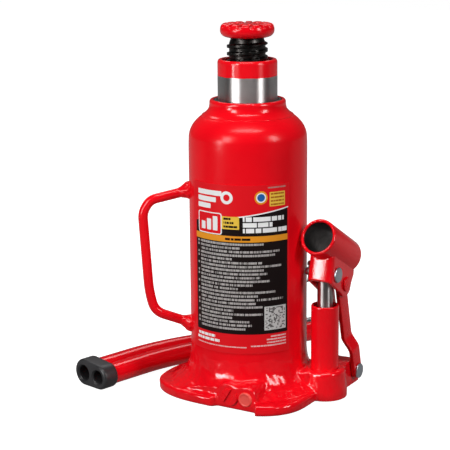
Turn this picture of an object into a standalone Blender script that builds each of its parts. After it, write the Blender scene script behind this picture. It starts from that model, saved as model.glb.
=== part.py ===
"""Welded bottle jack, built as separate named pieces.

Frame: +Z up, origin on the ram axis at the ground plane. +X points at the pump,
the operator's side (valves and handle socket) is -Y. Pump pins run along X.
All dimensions below are in millimetres and are scaled to metres on the way in.
"""

import math

import bmesh
import bpy
from mathutils import Matrix, Vector

for old in list(bpy.data.objects):
    bpy.data.objects.remove(old, do_unlink=True)

SCALE = 0.001
GAP = 0.3
MERGE = 0.000001
WELD = 0.00001
FINE = 32
ROUND = 24
SMALL = 16
TINY = 10

# Base casting
FLANGE_H = 8.0
REAR_R = 57.5
COLLAR_TOP = 36.0
RECESS_R = 26.1
RECESS_Z = 12.0
FRONT_Y = -48.5
PUMP_X = 55.6
PUMP_Y = 9.5
BOSS_R = 16.0
BOSS_TOP_R = 14.2
BOSS_TOP = 21.0
LUG_HALF = 8.2
LUG_R = 8.5
REGISTER_R = 38.0
REGISTER_TOP = 39.0

# Reservoir and neck
RES_R = 41.0
RES_IN_R = 38.4
RES_BOTTOM = 36.4
NECK_R = 26.3
NECK_TOP = 207.6

# Main cylinder, ram and screw
CYL_IN_R = 22.8
CYL_OUT_R = 25.8
CYL_BOTTOM = 13.4
CYL_TOP = 189.6
RAM_R = 20.5
RAM_BOTTOM = 30.5
RAM_TOP = 234.9
PISTON_R = 22.4
SCREW_ROOT_R = 12.4
SCREW_CREST_R = 14.0
SCREW_PITCH = 5.1
THREAD_BOTTOM = 125.0
THREAD_TOP = 247.0
SCREW_BOTTOM = 119.0
SADDLE_BOTTOM = 249.3
SADDLE_TOP = 259.0
SADDLE_TEETH = 14

# Carry handle
HANDLE_AZIMUTH = 216.0
HANDLE_ROD_R = 3.3
HANDLE_PATH = [(39.0, 145.1), (68.4, 138.4), (73.6, 129.6), (70.2, 73.6), (66.5, 58.2), (39.0, 48.3)]

# Pump linkage, as (y, z) in the plane through the pump axis
PIN_A = (9.5, 88.6)
PIN_B = (23.2, 78.8)
PIN_C = (40.0, 11.0)
PUMP_OUT_R = 9.75
PUMP_IN_R = 5.85
PUMP_BOTTOM = 12.3
PUMP_TOP = 66.4
ROD_R = 5.5
ROD_BOTTOM = 26.5
SOCKET_OUT_R = 12.9
SOCKET_IN_R = 10.5
SOCKET_LENGTH = 48.0
SOCKET_MOUTH = (-2.3, 117.2)
SOCKET_TILT = 29.0
BRACKET_HALF = 9.3
SHEET = 2.4
PIN_R = 2.75
PIN_HOLE_R = 3.05
OPEN_HOLE_R = 3.95
HEAD_R = 5.3
STRAP_T = 3.0
STRAP_HALF = 5.6
STRAP_TOP_OUT = 6.5
STRAP_LOW_OUT = 11.6

# Valves on the front face
VALVE_X = 12.6
VALVE_Z = 8.9
VALVE_R = 6.0
OVER_X = 24.8
OVER_Z = 9.2
OVER_R = 5.3

# Loose handle on the ground
BUNDLE_START = (-97.2, -59.0)
# Heading of the two tubes in degrees from +X, against the distance from the cap.
BUNDLE_HEADING = [
    (0.0, 76.8), (45.0, 76.8), (56.0, 72.8), (71.0, 68.2), (86.0, 63.4), (96.0, 60.4), (300.0, 60.4),
]
LARGE_R = 7.6
LARGE_IN_R = 6.1
SWAGE_R = 5.6
NEAR_R = 6.8
NEAR_IN_R = 5.8
BUNDLE_LENGTH = 225.0
CAP_LENGTH = 15.0
CAP_WALL = 2.2


def material(name, rgb, metallic, roughness):
    made = bpy.data.materials.get(name)
    if made:
        return made
    made = bpy.data.materials.new(name)
    made.use_nodes = True
    shader = made.node_tree.nodes["Principled BSDF"]
    shader.inputs["Base Color"].default_value = (rgb[0], rgb[1], rgb[2], 1.0)
    shader.inputs["Metallic"].default_value = metallic
    shader.inputs["Roughness"].default_value = roughness
    made.diffuse_color = (rgb[0], rgb[1], rgb[2], 1.0)
    return made


def red(name):
    return material(name, (0.62, 0.01, 0.015), 0.0, 0.3)


def steel(name):
    return material(name, (0.45, 0.45, 0.47), 1.0, 0.35)


def rubber(name):
    return material(name, (0.02, 0.02, 0.022), 0.0, 0.6)


def vec(point):
    return Vector((point[0] * SCALE, point[1] * SCALE, point[2] * SCALE))


def settle(bm):
    """Merge coincident vertices and turn every face outward."""
    bmesh.ops.remove_doubles(bm, verts=bm.verts[:], dist=MERGE)
    bmesh.ops.dissolve_degenerate(bm, dist=MERGE, edges=bm.edges[:])
    bmesh.ops.recalc_face_normals(bm, faces=bm.faces[:])


def mesh_object(name, bm):
    settle(bm)
    mesh = bpy.data.meshes.new(name)
    bm.to_mesh(mesh)
    bm.free()
    obj = bpy.data.objects.new(name, mesh)
    bpy.context.scene.collection.objects.link(obj)
    return obj


def lathe(profile, segments, frame=None):
    """Solid of revolution about Z from (r, z) points, placed by an optional matrix."""
    bm = bmesh.new()
    verts = [bm.verts.new(vec((r, 0.0, z))) for r, z in profile]
    edges = [bm.edges.new((a, b)) for a, b in zip(verts, verts[1:])]
    if profile[0][0] > 0.0:
        edges.append(bm.edges.new((verts[-1], verts[0])))
    bmesh.ops.spin(
        bm, geom=verts + edges, cent=(0, 0, 0), axis=(0, 0, 1), angle=2.0 * math.pi,
        steps=segments, use_merge=True,
    )
    settle(bm)
    if frame is not None:
        bmesh.ops.transform(bm, matrix=frame, verts=bm.verts[:])
    return bm


def prism(outline, low, high, frame=None):
    """Outline in XY extruded from low to high along Z."""
    bm = bmesh.new()
    face = bm.faces.new([bm.verts.new(vec((x, y, low))) for x, y in outline])
    top = bmesh.ops.extrude_face_region(bm, geom=[face])
    moved = [g for g in top["geom"] if isinstance(g, bmesh.types.BMVert)]
    bmesh.ops.translate(bm, verts=moved, vec=vec((0.0, 0.0, high - low)))
    settle(bm)
    if frame is not None:
        bmesh.ops.transform(bm, matrix=frame, verts=bm.verts[:])
    return bm


def place(point, axis):
    """Matrix that carries +Z onto axis and the origin onto point."""
    turn = Vector((0.0, 0.0, 1.0)).rotation_difference(Vector(axis).normalized()).to_matrix().to_4x4()
    return Matrix.Translation(vec(point)) @ turn


def across_x(x=PUMP_X):
    """Matrix that puts a drawing in (y, z) upright with its thickness along +X."""
    turn = Matrix(((0, 0, 1, 0), (1, 0, 0, 0), (0, 1, 0, 0), (0, 0, 0, 1)))
    return Matrix.Translation(vec((x, 0.0, 0.0))) @ turn


def cylinder(radius, low, high, segments, frame=None):
    return lathe([(0.0, low), (radius, low), (radius, high), (0.0, high)], segments, frame)


def ring(r_in, r_out, low, high, segments, frame=None):
    return lathe([(r_in, low), (r_out, low), (r_out, high), (r_in, high)], segments, frame)


def boolean(target, bm, operation):
    """Apply one exact Boolean of bm on the target object and bake the result."""
    cutter = mesh_object(target.name + "_tool", bm)
    step = target.modifiers.new("boolean", "BOOLEAN")
    step.object = cutter
    step.operation = operation
    step.solver = "EXACT"
    bpy.context.view_layer.update()
    graph = bpy.context.evaluated_depsgraph_get()
    baked = bpy.data.meshes.new_from_object(target.evaluated_get(graph))
    tidy = bmesh.new()
    tidy.from_mesh(baked)
    bmesh.ops.remove_doubles(tidy, verts=tidy.verts[:], dist=WELD)
    bmesh.ops.dissolve_degenerate(tidy, dist=WELD, edges=tidy.edges[:])
    tidy.to_mesh(baked)
    tidy.free()
    target.modifiers.clear()
    target.data = baked
    bpy.data.objects.remove(cutter, do_unlink=True)


def add(target, bm):
    boolean(target, bm, "UNION")


def cut(target, bm):
    boolean(target, bm, "DIFFERENCE")


def bevel_edges(bm, chosen, offset, segments=2):
    bmesh.ops.bevel(
        bm, geom=chosen, offset=offset * SCALE, offset_type="OFFSET", segments=segments,
        profile=0.5, affect="EDGES", clamp_overlap=True,
    )


def arc(centre, radius, start, end, steps):
    """Points on an arc, angles in degrees, both ends included."""
    out = []
    for k in range(steps + 1):
        a = math.radians(start + (end - start) * k / steps)
        out.append((centre[0] + radius * math.cos(a), centre[1] + radius * math.sin(a)))
    return out


def rounded_path(corners, radius, steps):
    """Replace each inner corner of a 3-D path by an arc-like curve."""
    points = [Vector(c) for c in corners]
    out = [points[0]]
    for before, here, after in zip(points, points[1:], points[2:]):
        reach = min(radius, (here - before).length * 0.45, (after - here).length * 0.45)
        first = here + (before - here).normalized() * reach
        last = here + (after - here).normalized() * reach
        for k in range(steps + 1):
            t = k / steps
            out.append(first * (1 - t) ** 2 + here * 2 * t * (1 - t) + last * t ** 2)
    out.append(points[-1])
    return out


def sweep(path, radius, segments):
    """Round rod along a 3-D path in millimetres, closed at both ends."""
    bm = bmesh.new()
    points = [Vector(p) for p in path]
    tangent = (points[1] - points[0]).normalized()
    side = tangent.orthogonal().normalized()
    rings = []
    for k, point in enumerate(points):
        before = points[max(k - 1, 0)]
        after = points[min(k + 1, len(points) - 1)]
        fresh = (after - before).normalized()
        side = (side - fresh * side.dot(fresh)).normalized()
        other = fresh.cross(side)
        row = []
        for j in range(segments):
            a = 2.0 * math.pi * j / segments
            spot = point + (side * math.cos(a) + other * math.sin(a)) * radius
            row.append(bm.verts.new(spot * SCALE))
        rings.append(row)
    for low, high in zip(rings, rings[1:]):
        for j in range(segments):
            n = (j + 1) % segments
            bm.faces.new((low[j], low[n], high[n], high[j]))
    bm.faces.new(rings[0][::-1])
    bm.faces.new(rings[-1])
    return bm


def thread(low, turns, segments):
    """Closed helical body: three points per pitch, swept by a helical grid."""
    shape = [(SCREW_ROOT_R, 0.0), (SCREW_CREST_R, 0.32), (SCREW_CREST_R, 0.62)]
    per_pitch = len(shape)
    levels = turns * per_pitch
    bm = bmesh.new()
    columns = []
    for j in range(segments):
        a = 2.0 * math.pi * j / segments
        column = []
        for k in range(levels + 1):
            r, part = shape[k % per_pitch]
            z = low + SCREW_PITCH * (k // per_pitch + part + j / segments)
            column.append(bm.verts.new(vec((r * math.cos(a), r * math.sin(a), z))))
        columns.append(column)
    for j in range(segments - 1):
        for k in range(levels):
            bm.faces.new((columns[j][k], columns[j + 1][k], columns[j + 1][k + 1], columns[j][k + 1]))
    first = columns[0]
    last = columns[-1]
    for k in range(levels - per_pitch):
        bm.faces.new((last[k], first[k + per_pitch], first[k + per_pitch + 1], last[k + 1]))
    bottom = [column[0] for column in columns] + [first[k] for k in range(per_pitch, 0, -1)]
    top = [column[-1] for column in columns] + [last[k]
        for k in range(levels - 1, levels - per_pitch - 1, -1)]
    for loop, z in ((bottom, low + SCREW_PITCH * 0.5), (top, low + SCREW_PITCH * (turns + 0.5))):
        centre = bm.verts.new(vec((0.0, 0.0, z)))
        for a, b in zip(loop, loop[1:] + loop[:1]):
            bm.faces.new((a, b, centre))
    return bm


def shade(obj, angle=32.0):
    for polygon in obj.data.polygons:
        polygon.use_smooth = True
    obj.data.set_sharp_from_angle(angle=math.radians(angle))


def finish(obj, mat, origin=(0.0, 0.0, 0.0)):
    """Give the piece its material and put its origin on the joint axis."""
    shift = vec(origin) - obj.location
    obj.data.transform(Matrix.Translation(-shift))
    obj.location = vec(origin)
    obj.data.materials.clear()
    obj.data.materials.append(mat)
    for polygon in obj.data.polygons:
        polygon.material_index = 0
    shade(obj)
    return obj


def piece(name, bm, mat, origin=(0.0, 0.0, 0.0)):
    return finish(mesh_object(name, bm), mat, origin)


# ---------------------------------------------------------------- base casting
base_paint = material("base_red_paint", (0.62, 0.01, 0.015), 0.0, 0.3)
outline = [(-1.0, -52.0), (1.5, FRONT_Y), (32.5, FRONT_Y), (35.0, -54.0), (41.0, -51.0), (48.5, -45.5)]
outline += [(54.5, -37.0), (57.3, -27.0), (57.5, -12.0), (57.5, 20.0), (47.0, 24.0), (43.0, 32.0)]
outline += arc((16.0, 29.0), 28.0, 18.0, 90.0, 5)
outline += arc((0.0, 0.0), REAR_R, 96.0, 172.0, 8)
outline += [(-59.0, -3.0), (-59.5, -10.0), (-59.2, -22.0), (-56.3, -32.0), (-50.8, -39.5), (-42.0, -45.5)]
outline += [(-30.0, -49.7), (-15.0, -51.6)]
flange = prism(outline, 0.0, FLANGE_H)
upper = [e for e in flange.edges if all(abs(v.co.z - FLANGE_H * SCALE) < MERGE for v in e.verts)]
bevel_edges(flange, upper, 2.0, 2)
base = mesh_object("base", flange)

collar = [
    (0.0, 5.0), (54.8, 5.0), (54.8, 8.6), (51.8, 11.0), (48.8, 14.2), (46.6, 18.0), (44.7, 22.5),
    (42.9, 28.0), (41.4, COLLAR_TOP), (REGISTER_R, COLLAR_TOP), (REGISTER_R, REGISTER_TOP),
    (0.0, REGISTER_TOP),
]
collar_body = lathe(collar, FINE)
for v in collar_body.verts:
    v.co.y = max(v.co.y, (FRONT_Y + 1.0) * SCALE)
add(base, collar_body)

front = prism([(0.6, 5.0), (33.2, 5.0), (32.0, 15.8), (27.0, 18.2), (9.0, 18.2), (3.0, 15.2)], 30.0,
    -FRONT_Y)
bmesh.ops.transform(front, matrix=Matrix(((1, 0, 0, 0), (0, 0, -1, 0), (0, 1, 0, 0), (0, 0, 0, 1))),
    verts=front.verts[:])
bmesh.ops.recalc_face_normals(front, faces=front.faces[:])
for v in front.verts:
    if v.co.y > -0.031 and v.co.z > 0.010:
        v.co.z += 0.006
add(base, front)

boss_frame = place((PUMP_X, PUMP_Y, 0.0), (0, 0, 1))
boss = lathe(
    [(0.0, 0.0), (BOSS_R, 0.0), (BOSS_R, 5.0), (BOSS_TOP_R + 0.3, BOSS_TOP - 1.5),
        (BOSS_TOP_R - 1.2, BOSS_TOP),
     (0.0, BOSS_TOP)], ROUND, boss_frame,
)
add(base, boss)
web = prism([(30.0, -6.0), (52.0, -6.0), (55.0, 12.0), (52.0, 22.0), (30.0, 22.0)], 4.0, BOSS_TOP - 1.0)
add(base, web)
lug_outline = [(14.0, 0.0), (PIN_C[0] + LUG_R, 0.0)] + arc(PIN_C, LUG_R, 0.0, 120.0, 8) + [(14.0, 18.0)]
add(base, prism(lug_outline, -LUG_HALF, LUG_HALF, across_x()))

cut(base, cylinder(RECESS_R, RECESS_Z, 50.0, FINE))
cut(base, cylinder(PUMP_OUT_R + GAP, 10.6, 40.0, ROUND, boss_frame))
cut(base, cylinder(5.6, 4.0, 15.0, SMALL, boss_frame))
cut(base, cylinder(3.3, -20.0, 20.0, SMALL, place((PUMP_X, PIN_C[0], PIN_C[1]), (1, 0, 0))))
valve_bore = [(0.0, 0.0), (VALVE_R + 0.4, 0.0), (VALVE_R + 0.4, 18.4), (4.9, 18.4), (4.9, 33.0), (2.9, 33.0),
              (2.9, 45.5), (1.5, 46.5), (1.5, 57.0), (0.0, 57.0)]
cut(base, lathe(valve_bore, SMALL, place((VALVE_X, -60.0, VALVE_Z), (0, 1, 0))))
over_bore = [(0.0, 0.0), (OVER_R + 0.3, 0.0), (OVER_R + 0.3, 24.5), (3.4, 24.5), (3.4, 40.5), (1.2, 41.8),
             (1.2, 44.0), (0.0, 44.0)]
cut(base, lathe(over_bore, SMALL, place((OVER_X, -60.0, OVER_Z), (0, 1, 0))))
drills = [
    ((VALVE_X, -31.0, VALVE_Z), (0, 0, 1), 1.8, 34.0),
    ((VALVE_X, -5.0, VALVE_Z), (0, 0, 1), 1.4, 10.0),
    ((OVER_X, -17.0, OVER_Z), (-0.7, 0.7, 0), 0.95, 10.6),
    ((18.2, -10.4, OVER_Z), (0, 0, 1), 1.1, 10.0),
    ((33.0, 5.6, 7.5), (0, 0, 1), 1.4, 36.0),
    ((14.0, 14.0, 7.2), (0, 0, 1), 2.0, 10.0),
]
for start, axis, radius, length in drills:
    cut(base, cylinder(radius, 0.0, length, TINY, place(start, axis)))
to_suction = (PUMP_X - 33.0, PUMP_Y - 5.6, 0.0)
to_delivery = (PUMP_X - 14.0, PUMP_Y - 14.0, 0.0)
passage = [(0.0, -1.8), (1.8, -1.8), (1.8, 5.4), (2.9, 6.4), (2.9, 22.9), (0.0, 22.9)]
cut(base, lathe(passage, TINY, place((33.0, 5.6, 7.5), to_suction)))
passage = [(0.0, -1.8), (1.8, -1.8), (1.8, 13.5), (2.9, 14.5), (2.9, 26.0), (1.7, 27.2), (1.7, 42.5),
    (0.0, 42.5)]
cut(base, lathe(passage, TINY, place((14.0, 14.0, 7.2), to_delivery)))
finish(base, base_paint)

suction_dir = Vector(to_suction).normalized()
delivery_dir = Vector(to_delivery).normalized()
ball = [(0.0, -2.5), (1.25, -2.165), (2.165, -1.25), (2.5, 0.0), (2.165, 1.25), (1.25, 2.165), (0.0, 2.5)]
spot = Vector((33.0, 5.6, 7.5)) + suction_dir * 9.6
piece("suction_ball", lathe(ball, TINY, place(spot, (0, 0, 1))), steel("suction_ball_steel"))
spot = Vector((14.0, 14.0, 7.2)) + delivery_dir * 23.4
piece("delivery_ball", lathe(ball, TINY, place(spot, (0, 0, 1))), steel("delivery_ball_steel"))

# ------------------------------------------------- reservoir, cylinder and neck
reservoir_profile = [
    (RES_R, RES_BOTTOM), (RES_R, 181.0), (40.5, 184.0), (39.7, 186.9), (38.2, 189.5), (36.0, 192.2),
    (33.0, 194.9), (29.0, 197.6), (26.9, 199.4), (26.9, 196.4), (28.4, 195.1), (32.0, 192.4),
    (35.0, 189.3), (37.0, 186.0), (38.1, 183.0), (RES_IN_R, 180.0), (RES_IN_R, RES_BOTTOM),
]
reservoir = mesh_object("reservoir", lathe(reservoir_profile, FINE))
PLUG_Z = 150.0
cut(reservoir, cylinder(5.5, 30.0, 50.0, SMALL, place((0.0, 0.0, PLUG_Z), (0, 1, 0))))
finish(reservoir, red("reservoir_red_paint"))
plug_profile = [(0.0, 36.0), (5.0, 36.0), (5.2, 37.0), (5.2, 41.4), (7.6, 41.4), (7.8, 42.6), (6.6, 43.8),
    (0.0, 44.0)]
piece(
    "filler_plug", lathe(plug_profile, SMALL, place((0.0, 0.0, PLUG_Z), (0, 1, 0))),
    rubber("filler_plug_rubber"), (0.0, 41.0, PLUG_Z),
)
piece("main_cylinder", ring(CYL_IN_R, CYL_OUT_R, CYL_BOTTOM, CYL_TOP, ROUND), steel("main_cylinder_steel"))
piece(
    "cylinder_gasket", ring(23.0, 25.7, RECESS_Z + GAP, RECESS_Z + 1.1, ROUND),
    material("cylinder_gasket_copper", (0.6, 0.27, 0.13), 1.0, 0.4),
)
nut_profile = [
    (20.9, 190.0), (NECK_R, 190.0), (NECK_R, 192.3), (24.2, 192.3), (24.2, 195.3), (NECK_R, 195.3),
    (NECK_R, 206.0), (25.7, 207.2), (24.6, NECK_TOP), (23.3, NECK_TOP), (23.3, 204.4), (20.9, 204.4),
]
piece("top_nut", lathe(nut_profile, ROUND), red("top_nut_red_paint"))
o_ring = [(25.35 + 0.85 * math.cos(a), 193.8 + 0.85 * math.sin(a))
    for a in [2 * math.pi * k / 6 for k in range(6)]]
piece("top_nut_o_ring", lathe(o_ring, ROUND), rubber("top_nut_o_ring_rubber"))
piece("ram_wiper", lathe(
    [(20.8, 204.7), (23.0, 204.7), (23.0, 207.3), (22.0, 207.5), (20.8, 206.6)], ROUND),
    rubber("ram_wiper_rubber"))

# ---------------------------------------------------------- ram, screw, saddle
ram_profile = [
    (0.0, RAM_BOTTOM), (21.6, RAM_BOTTOM), (PISTON_R, RAM_BOTTOM + 0.8), (PISTON_R, 37.6), (18.6, 37.6),
    (18.6, 43.6), (PISTON_R, 43.6), (PISTON_R, 49.6), (21.4, 50.6), (RAM_R, 50.6), (RAM_R, 233.4),
    (20.0, 234.5), (19.0, RAM_TOP), (17.7, RAM_TOP), (17.1, 234.3), (17.1, 224.0), (14.5, 222.6),
    (14.5, 191.0), (16.7, 190.0), (16.7, 60.0), (0.0, 60.0),
]
piece("ram", lathe(ram_profile, ROUND), steel("ram_steel"), (0.0, 0.0, RAM_BOTTOM))
piece("ram_backup_ring", ring(19.0, 22.3, 38.0, 39.4, ROUND), material(
    "ram_backup_ring_plastic", (0.85, 0.83, 0.76), 0.0, 0.5), (0.0, 0.0, RAM_BOTTOM))
piece("ram_seal", lathe(
    [(19.0, 39.8), (22.5, 39.8), (22.5, 43.2), (21.4, 43.2), (20.7, 41.6), (20.0, 43.2), (19.0, 43.2)],
    ROUND),
    rubber("ram_seal_rubber"), (0.0, 0.0, RAM_BOTTOM))

THREAD_SEGMENTS = 11
THREAD_TURNS = 26
screw = mesh_object("extension_screw", thread(THREAD_BOTTOM - 1.2 * SCREW_PITCH, THREAD_TURNS,
    THREAD_SEGMENTS))
cut(screw, cylinder(20.0, 80.0, THREAD_BOTTOM, SMALL))
cut(screw, cylinder(20.0, THREAD_TOP, 290.0, SMALL))
foot = [
    (0.0, SCREW_BOTTOM), (11.3, SCREW_BOTTOM), (11.8, 119.5), (11.8, 120.0), (10.2, 120.0), (10.2, 122.4),
    (11.8, 122.4), (11.8, THREAD_BOTTOM + 1.0), (0.0, THREAD_BOTTOM + 1.0),
]
add(screw, lathe(foot, SMALL))
neck = [
    (0.0, THREAD_TOP - 1.0), (11.4, THREAD_TOP - 1.0), (11.4, SADDLE_BOTTOM - GAP),
    (8.7, SADDLE_BOTTOM - GAP),
    (8.7, 255.0), (0.0, 255.0),
]
add(screw, lathe(neck, SMALL))
finish(screw, steel("extension_screw_steel"), (0.0, 0.0, THREAD_BOTTOM))

saddle_profile = [
    (0.0, 255.3), (9.0, 255.3), (9.0, SADDLE_BOTTOM), (13.7, SADDLE_BOTTOM), (16.4, 250.6), (18.2, 252.5),
    (18.7, 254.6), (18.2, 256.8), (16.8, 258.7), (16.0, SADDLE_TOP), (8.6, SADDLE_TOP), (8.2, 258.0),
    (7.0, 258.0), (6.6, SADDLE_TOP), (0.0, SADDLE_TOP),
]
saddle = mesh_object("saddle", lathe(saddle_profile, ROUND))
notch = bmesh.new()
for k in range(SADDLE_TEETH):
    spin = Matrix.Rotation(2.0 * math.pi * k / SADDLE_TEETH, 4, "Z")
    wedge = prism([(8.2, -0.5), (22.0, -1.5), (22.0, 1.5), (8.2, 0.5)], 257.4, 262.0, spin)
    copy = bpy.data.meshes.new("wedge")
    wedge.to_mesh(copy)
    wedge.free()
    notch.from_mesh(copy)
    bpy.data.meshes.remove(copy)
cut(saddle, notch)
finish(saddle, red("saddle_red_paint"), (0.0, 0.0, SADDLE_BOTTOM))

stop_ring = mesh_object("screw_stop_ring", ring(10.6, 15.8, 120.4, 122.0, SMALL))
cut(stop_ring, prism([(5.0, -2.0), (20.0, -2.0), (20.0, 2.0), (5.0, 2.0)], 115.0, 130.0))
finish(stop_ring, steel("screw_stop_ring_steel"), (0.0, 0.0, 120.4))

# ---------------------------------------------------------------- carry handle
outward = Vector((math.cos(math.radians(HANDLE_AZIMUTH)), math.sin(math.radians(HANDLE_AZIMUTH)), 0.0))
corners = [outward * r + Vector((0.0, 0.0, z)) for r, z in HANDLE_PATH]
CARRY_BEND = 11.0
carry = mesh_object("carry_handle", sweep(rounded_path(corners, CARRY_BEND, 5), HANDLE_ROD_R, 12))
cut(carry, cylinder(RES_R + GAP, 20.0, 190.0, FINE))
finish(carry, red("carry_handle_red_paint"))

bead = [
    (HANDLE_ROD_R + GAP, -4.0), (7.2, -4.0), (7.2, 0.2), (6.3, 2.0), (5.0, 4.2), (4.2, 6.4),
    (HANDLE_ROD_R + GAP, 7.0),
]
for where, end, toward in (("top", corners[0], corners[1]), ("bottom", corners[-1], corners[-2])):
    run = (toward - end).normalized()
    weld = mesh_object("carry_weld_" + where, lathe(bead, SMALL, place(end + run * 2.4, run)))
    cut(weld, cylinder(RES_R + GAP, 20.0, 190.0, FINE))
    finish(weld, red("carry_weld_" + where + "_red_paint"))

# ----------------------------------------------------------------- the sticker
LABEL_FROM = -123.0
LABEL_TO = -18.2
LABEL_LOW = 37.5
LABEL_HIGH = 155.0
LABEL_IN_R = 41.3
LABEL_OUT_R = 41.5
sheet = arc((0.0, 0.0), LABEL_IN_R, LABEL_FROM, LABEL_TO, 24)
sheet += arc((0.0, 0.0), LABEL_OUT_R, LABEL_TO, LABEL_FROM, 24)
piece("label", prism(sheet, LABEL_LOW, LABEL_HIGH), material("label_vinyl", (0.03, 0.03, 0.03), 0.0, 0.4))

# ------------------------------------------------------------------------ pump
pump_body = [
    (PUMP_IN_R, PUMP_BOTTOM), (PUMP_OUT_R, PUMP_BOTTOM), (PUMP_OUT_R, PUMP_TOP - 0.8), (9.2, PUMP_TOP),
    (8.6, PUMP_TOP), (8.1, PUMP_TOP - 0.5), (8.1, 59.8), (PUMP_IN_R, 59.8),
]
piece("pump_cylinder", lathe(pump_body, ROUND, boss_frame), red("pump_cylinder_red_paint"))
piece("pump_gasket", ring(6.1, 9.6, 10.9, 12.0, SMALL, boss_frame), material(
    "pump_gasket_copper", (0.6, 0.27, 0.13), 1.0, 0.4))
piece("pump_wiper", lathe([(5.8, 60.1), (7.8, 60.1), (7.8, 63.0), (6.6, 63.0), (5.8, 62.2)], SMALL,
    boss_frame),
      rubber("pump_wiper_rubber"))
rod_profile = [
    (0.0, ROD_BOTTOM), (5.0, ROD_BOTTOM), (ROD_R, ROD_BOTTOM + 0.5), (ROD_R, 30.0), (4.3, 30.0), (4.3, 32.4),
    (ROD_R, 32.4), (ROD_R, PIN_A[1]),
]
rod_profile += [(ROD_R * math.cos(math.radians(a)), PIN_A[1] + ROD_R * math.sin(math.radians(a)))
    for a in (20, 40, 60, 78)]
rod_profile += [(0.0, PIN_A[1] + ROD_R)]
rod = mesh_object("pump_piston", lathe(rod_profile, 20, boss_frame))
cut(rod, cylinder(PIN_HOLE_R, -20.0, 20.0, SMALL, place((PUMP_X, PIN_A[0], PIN_A[1]), (1, 0, 0))))
finish(rod, steel("pump_piston_steel"), (PUMP_X, PUMP_Y, ROD_BOTTOM))
o_ring = [(5.1 + 0.55 * math.cos(a), 31.2 + 0.8 * math.sin(a))
    for a in [2 * math.pi * k / 6 for k in range(6)]]
piece("pump_o_ring", lathe(o_ring, SMALL, boss_frame), rubber("pump_o_ring_rubber"),
    (PUMP_X, PUMP_Y, ROD_BOTTOM))

# ------------------------------------------------------ handle socket, bracket
pivot_a = (PUMP_X, PIN_A[0], PIN_A[1])
tilt = math.radians(SOCKET_TILT)
inward = Vector((0.0, math.cos(tilt), -math.sin(tilt)))
mouth = Vector((PUMP_X, SOCKET_MOUTH[0], SOCKET_MOUTH[1]))
socket_frame = place(mouth, inward)
tube_profile = [
    (SOCKET_IN_R, 0.7), (SOCKET_IN_R + 0.7, 0.0), (SOCKET_OUT_R - 0.7, 0.0), (SOCKET_OUT_R, 0.7),
    (SOCKET_OUT_R, SOCKET_LENGTH - 0.7), (SOCKET_OUT_R - 0.7, SOCKET_LENGTH), (SOCKET_IN_R, SOCKET_LENGTH),
]
piece("socket_tube", lathe(tube_profile, ROUND, socket_frame), red("socket_tube_red_paint"), pivot_a)

cheek = [(-1.0, 86.0), (17.3, 72.9)] + arc(PIN_B, 8.5, 232.0, 375.0, 9) + [(37.5, 87.5), (39.7, 93.9),
    (4.2, 113.6)]
block = prism(cheek, -BRACKET_HALF, BRACKET_HALF, across_x())
front_edges = []
for e in block.edges:
    low_end, high_end = sorted(e.verts, key=lambda v: v.co.z)
    same_x = abs(low_end.co.x - high_end.co.x) < MERGE
    if same_x and low_end.co.y < -0.0009 and high_end.co.z > 0.113:
        front_edges.append(e)
bevel_edges(block, front_edges, 4.2, 4)
bracket = mesh_object("socket_bracket", block)
front_run = Vector((4.2 + 1.0, 113.6 - 86.0)).normalized()
front_normal = Vector((front_run.y, -front_run.x))
low_in = Vector((-1.0, 86.0)) + front_normal * SHEET - front_run * 30.0
high_in = Vector((-1.0, 86.0)) + front_normal * SHEET + front_run * 50.0
hollow = prism([low_in, (60.0, 40.0), (60.0, 130.0), high_in], SHEET - BRACKET_HALF, BRACKET_HALF - SHEET,
    across_x())
inner_edges = []
for e in hollow.edges:
    low_end, high_end = sorted(e.verts, key=lambda v: v.co.z)
    if abs(low_end.co.x - high_end.co.x) < MERGE and max(low_end.co.y, high_end.co.y) < 0.02:
        inner_edges.append(e)
bevel_edges(hollow, inner_edges, 2.0, 3)
cut(bracket, hollow)
cut(bracket, cylinder(SOCKET_OUT_R + GAP, -30.0, 90.0, ROUND, socket_frame))
for pin in (PIN_A, PIN_B):
    cut(bracket, cylinder(PIN_HOLE_R, -20.0, 20.0, SMALL, place((PUMP_X, pin[0], pin[1]), (1, 0, 0))))
finish(bracket, red("socket_bracket_red_paint"), pivot_a)


def pin_profile(radius, far, shoulder, head, head_r, far_r=0.0):
    """Headed pin along its axis: far end, shank, shoulder of the head, dome."""
    profile = [(0.0, far), (radius - 0.4, far), (radius, far + 0.5)]
    if far_r > 0.0:
        profile = [(0.0, far), (far_r - 0.6, far), (far_r, far + 0.6), (far_r, far + 1.6),
            (radius, far + 1.6)]
    return profile + [(radius, shoulder), (head_r, shoulder), (head_r, head - 0.7), (head_r - 0.9, head),
        (0.0, head + 0.15)]


pin = mesh_object("piston_pin", lathe(
    pin_profile(PIN_R, -14.9, 9.6, 11.1, HEAD_R), SMALL, place((PUMP_X, PIN_A[0], PIN_A[1]), (1, 0, 0))))
COTTER_X = -12.6
cut(pin, cylinder(1.1, -10.0, 10.0, TINY, place((PUMP_X + COTTER_X, PIN_A[0], PIN_A[1]), (0, 0, 1))))
finish(pin, steel("piston_pin_zinc"), pivot_a)
cotter_x = PUMP_X + COTTER_X
legs = sweep(
    [(cotter_x, PIN_A[0] - 2.2, PIN_A[1] - 7.6), (cotter_x, PIN_A[0], PIN_A[1] - 4.2),
        (cotter_x, PIN_A[0], PIN_A[1] + 3.4)]
    + [(cotter_x, PIN_A[0] + 1.9 * math.sin(math.radians(a)),
        PIN_A[1] + 5.6 - 2.0 * math.cos(math.radians(a)))
       for a in (35, 75, 115, 155, 195, 235, 275, 305)], 0.7, 8)
piece("piston_pin_cotter", legs, steel("piston_pin_cotter_steel"), pivot_a)

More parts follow.
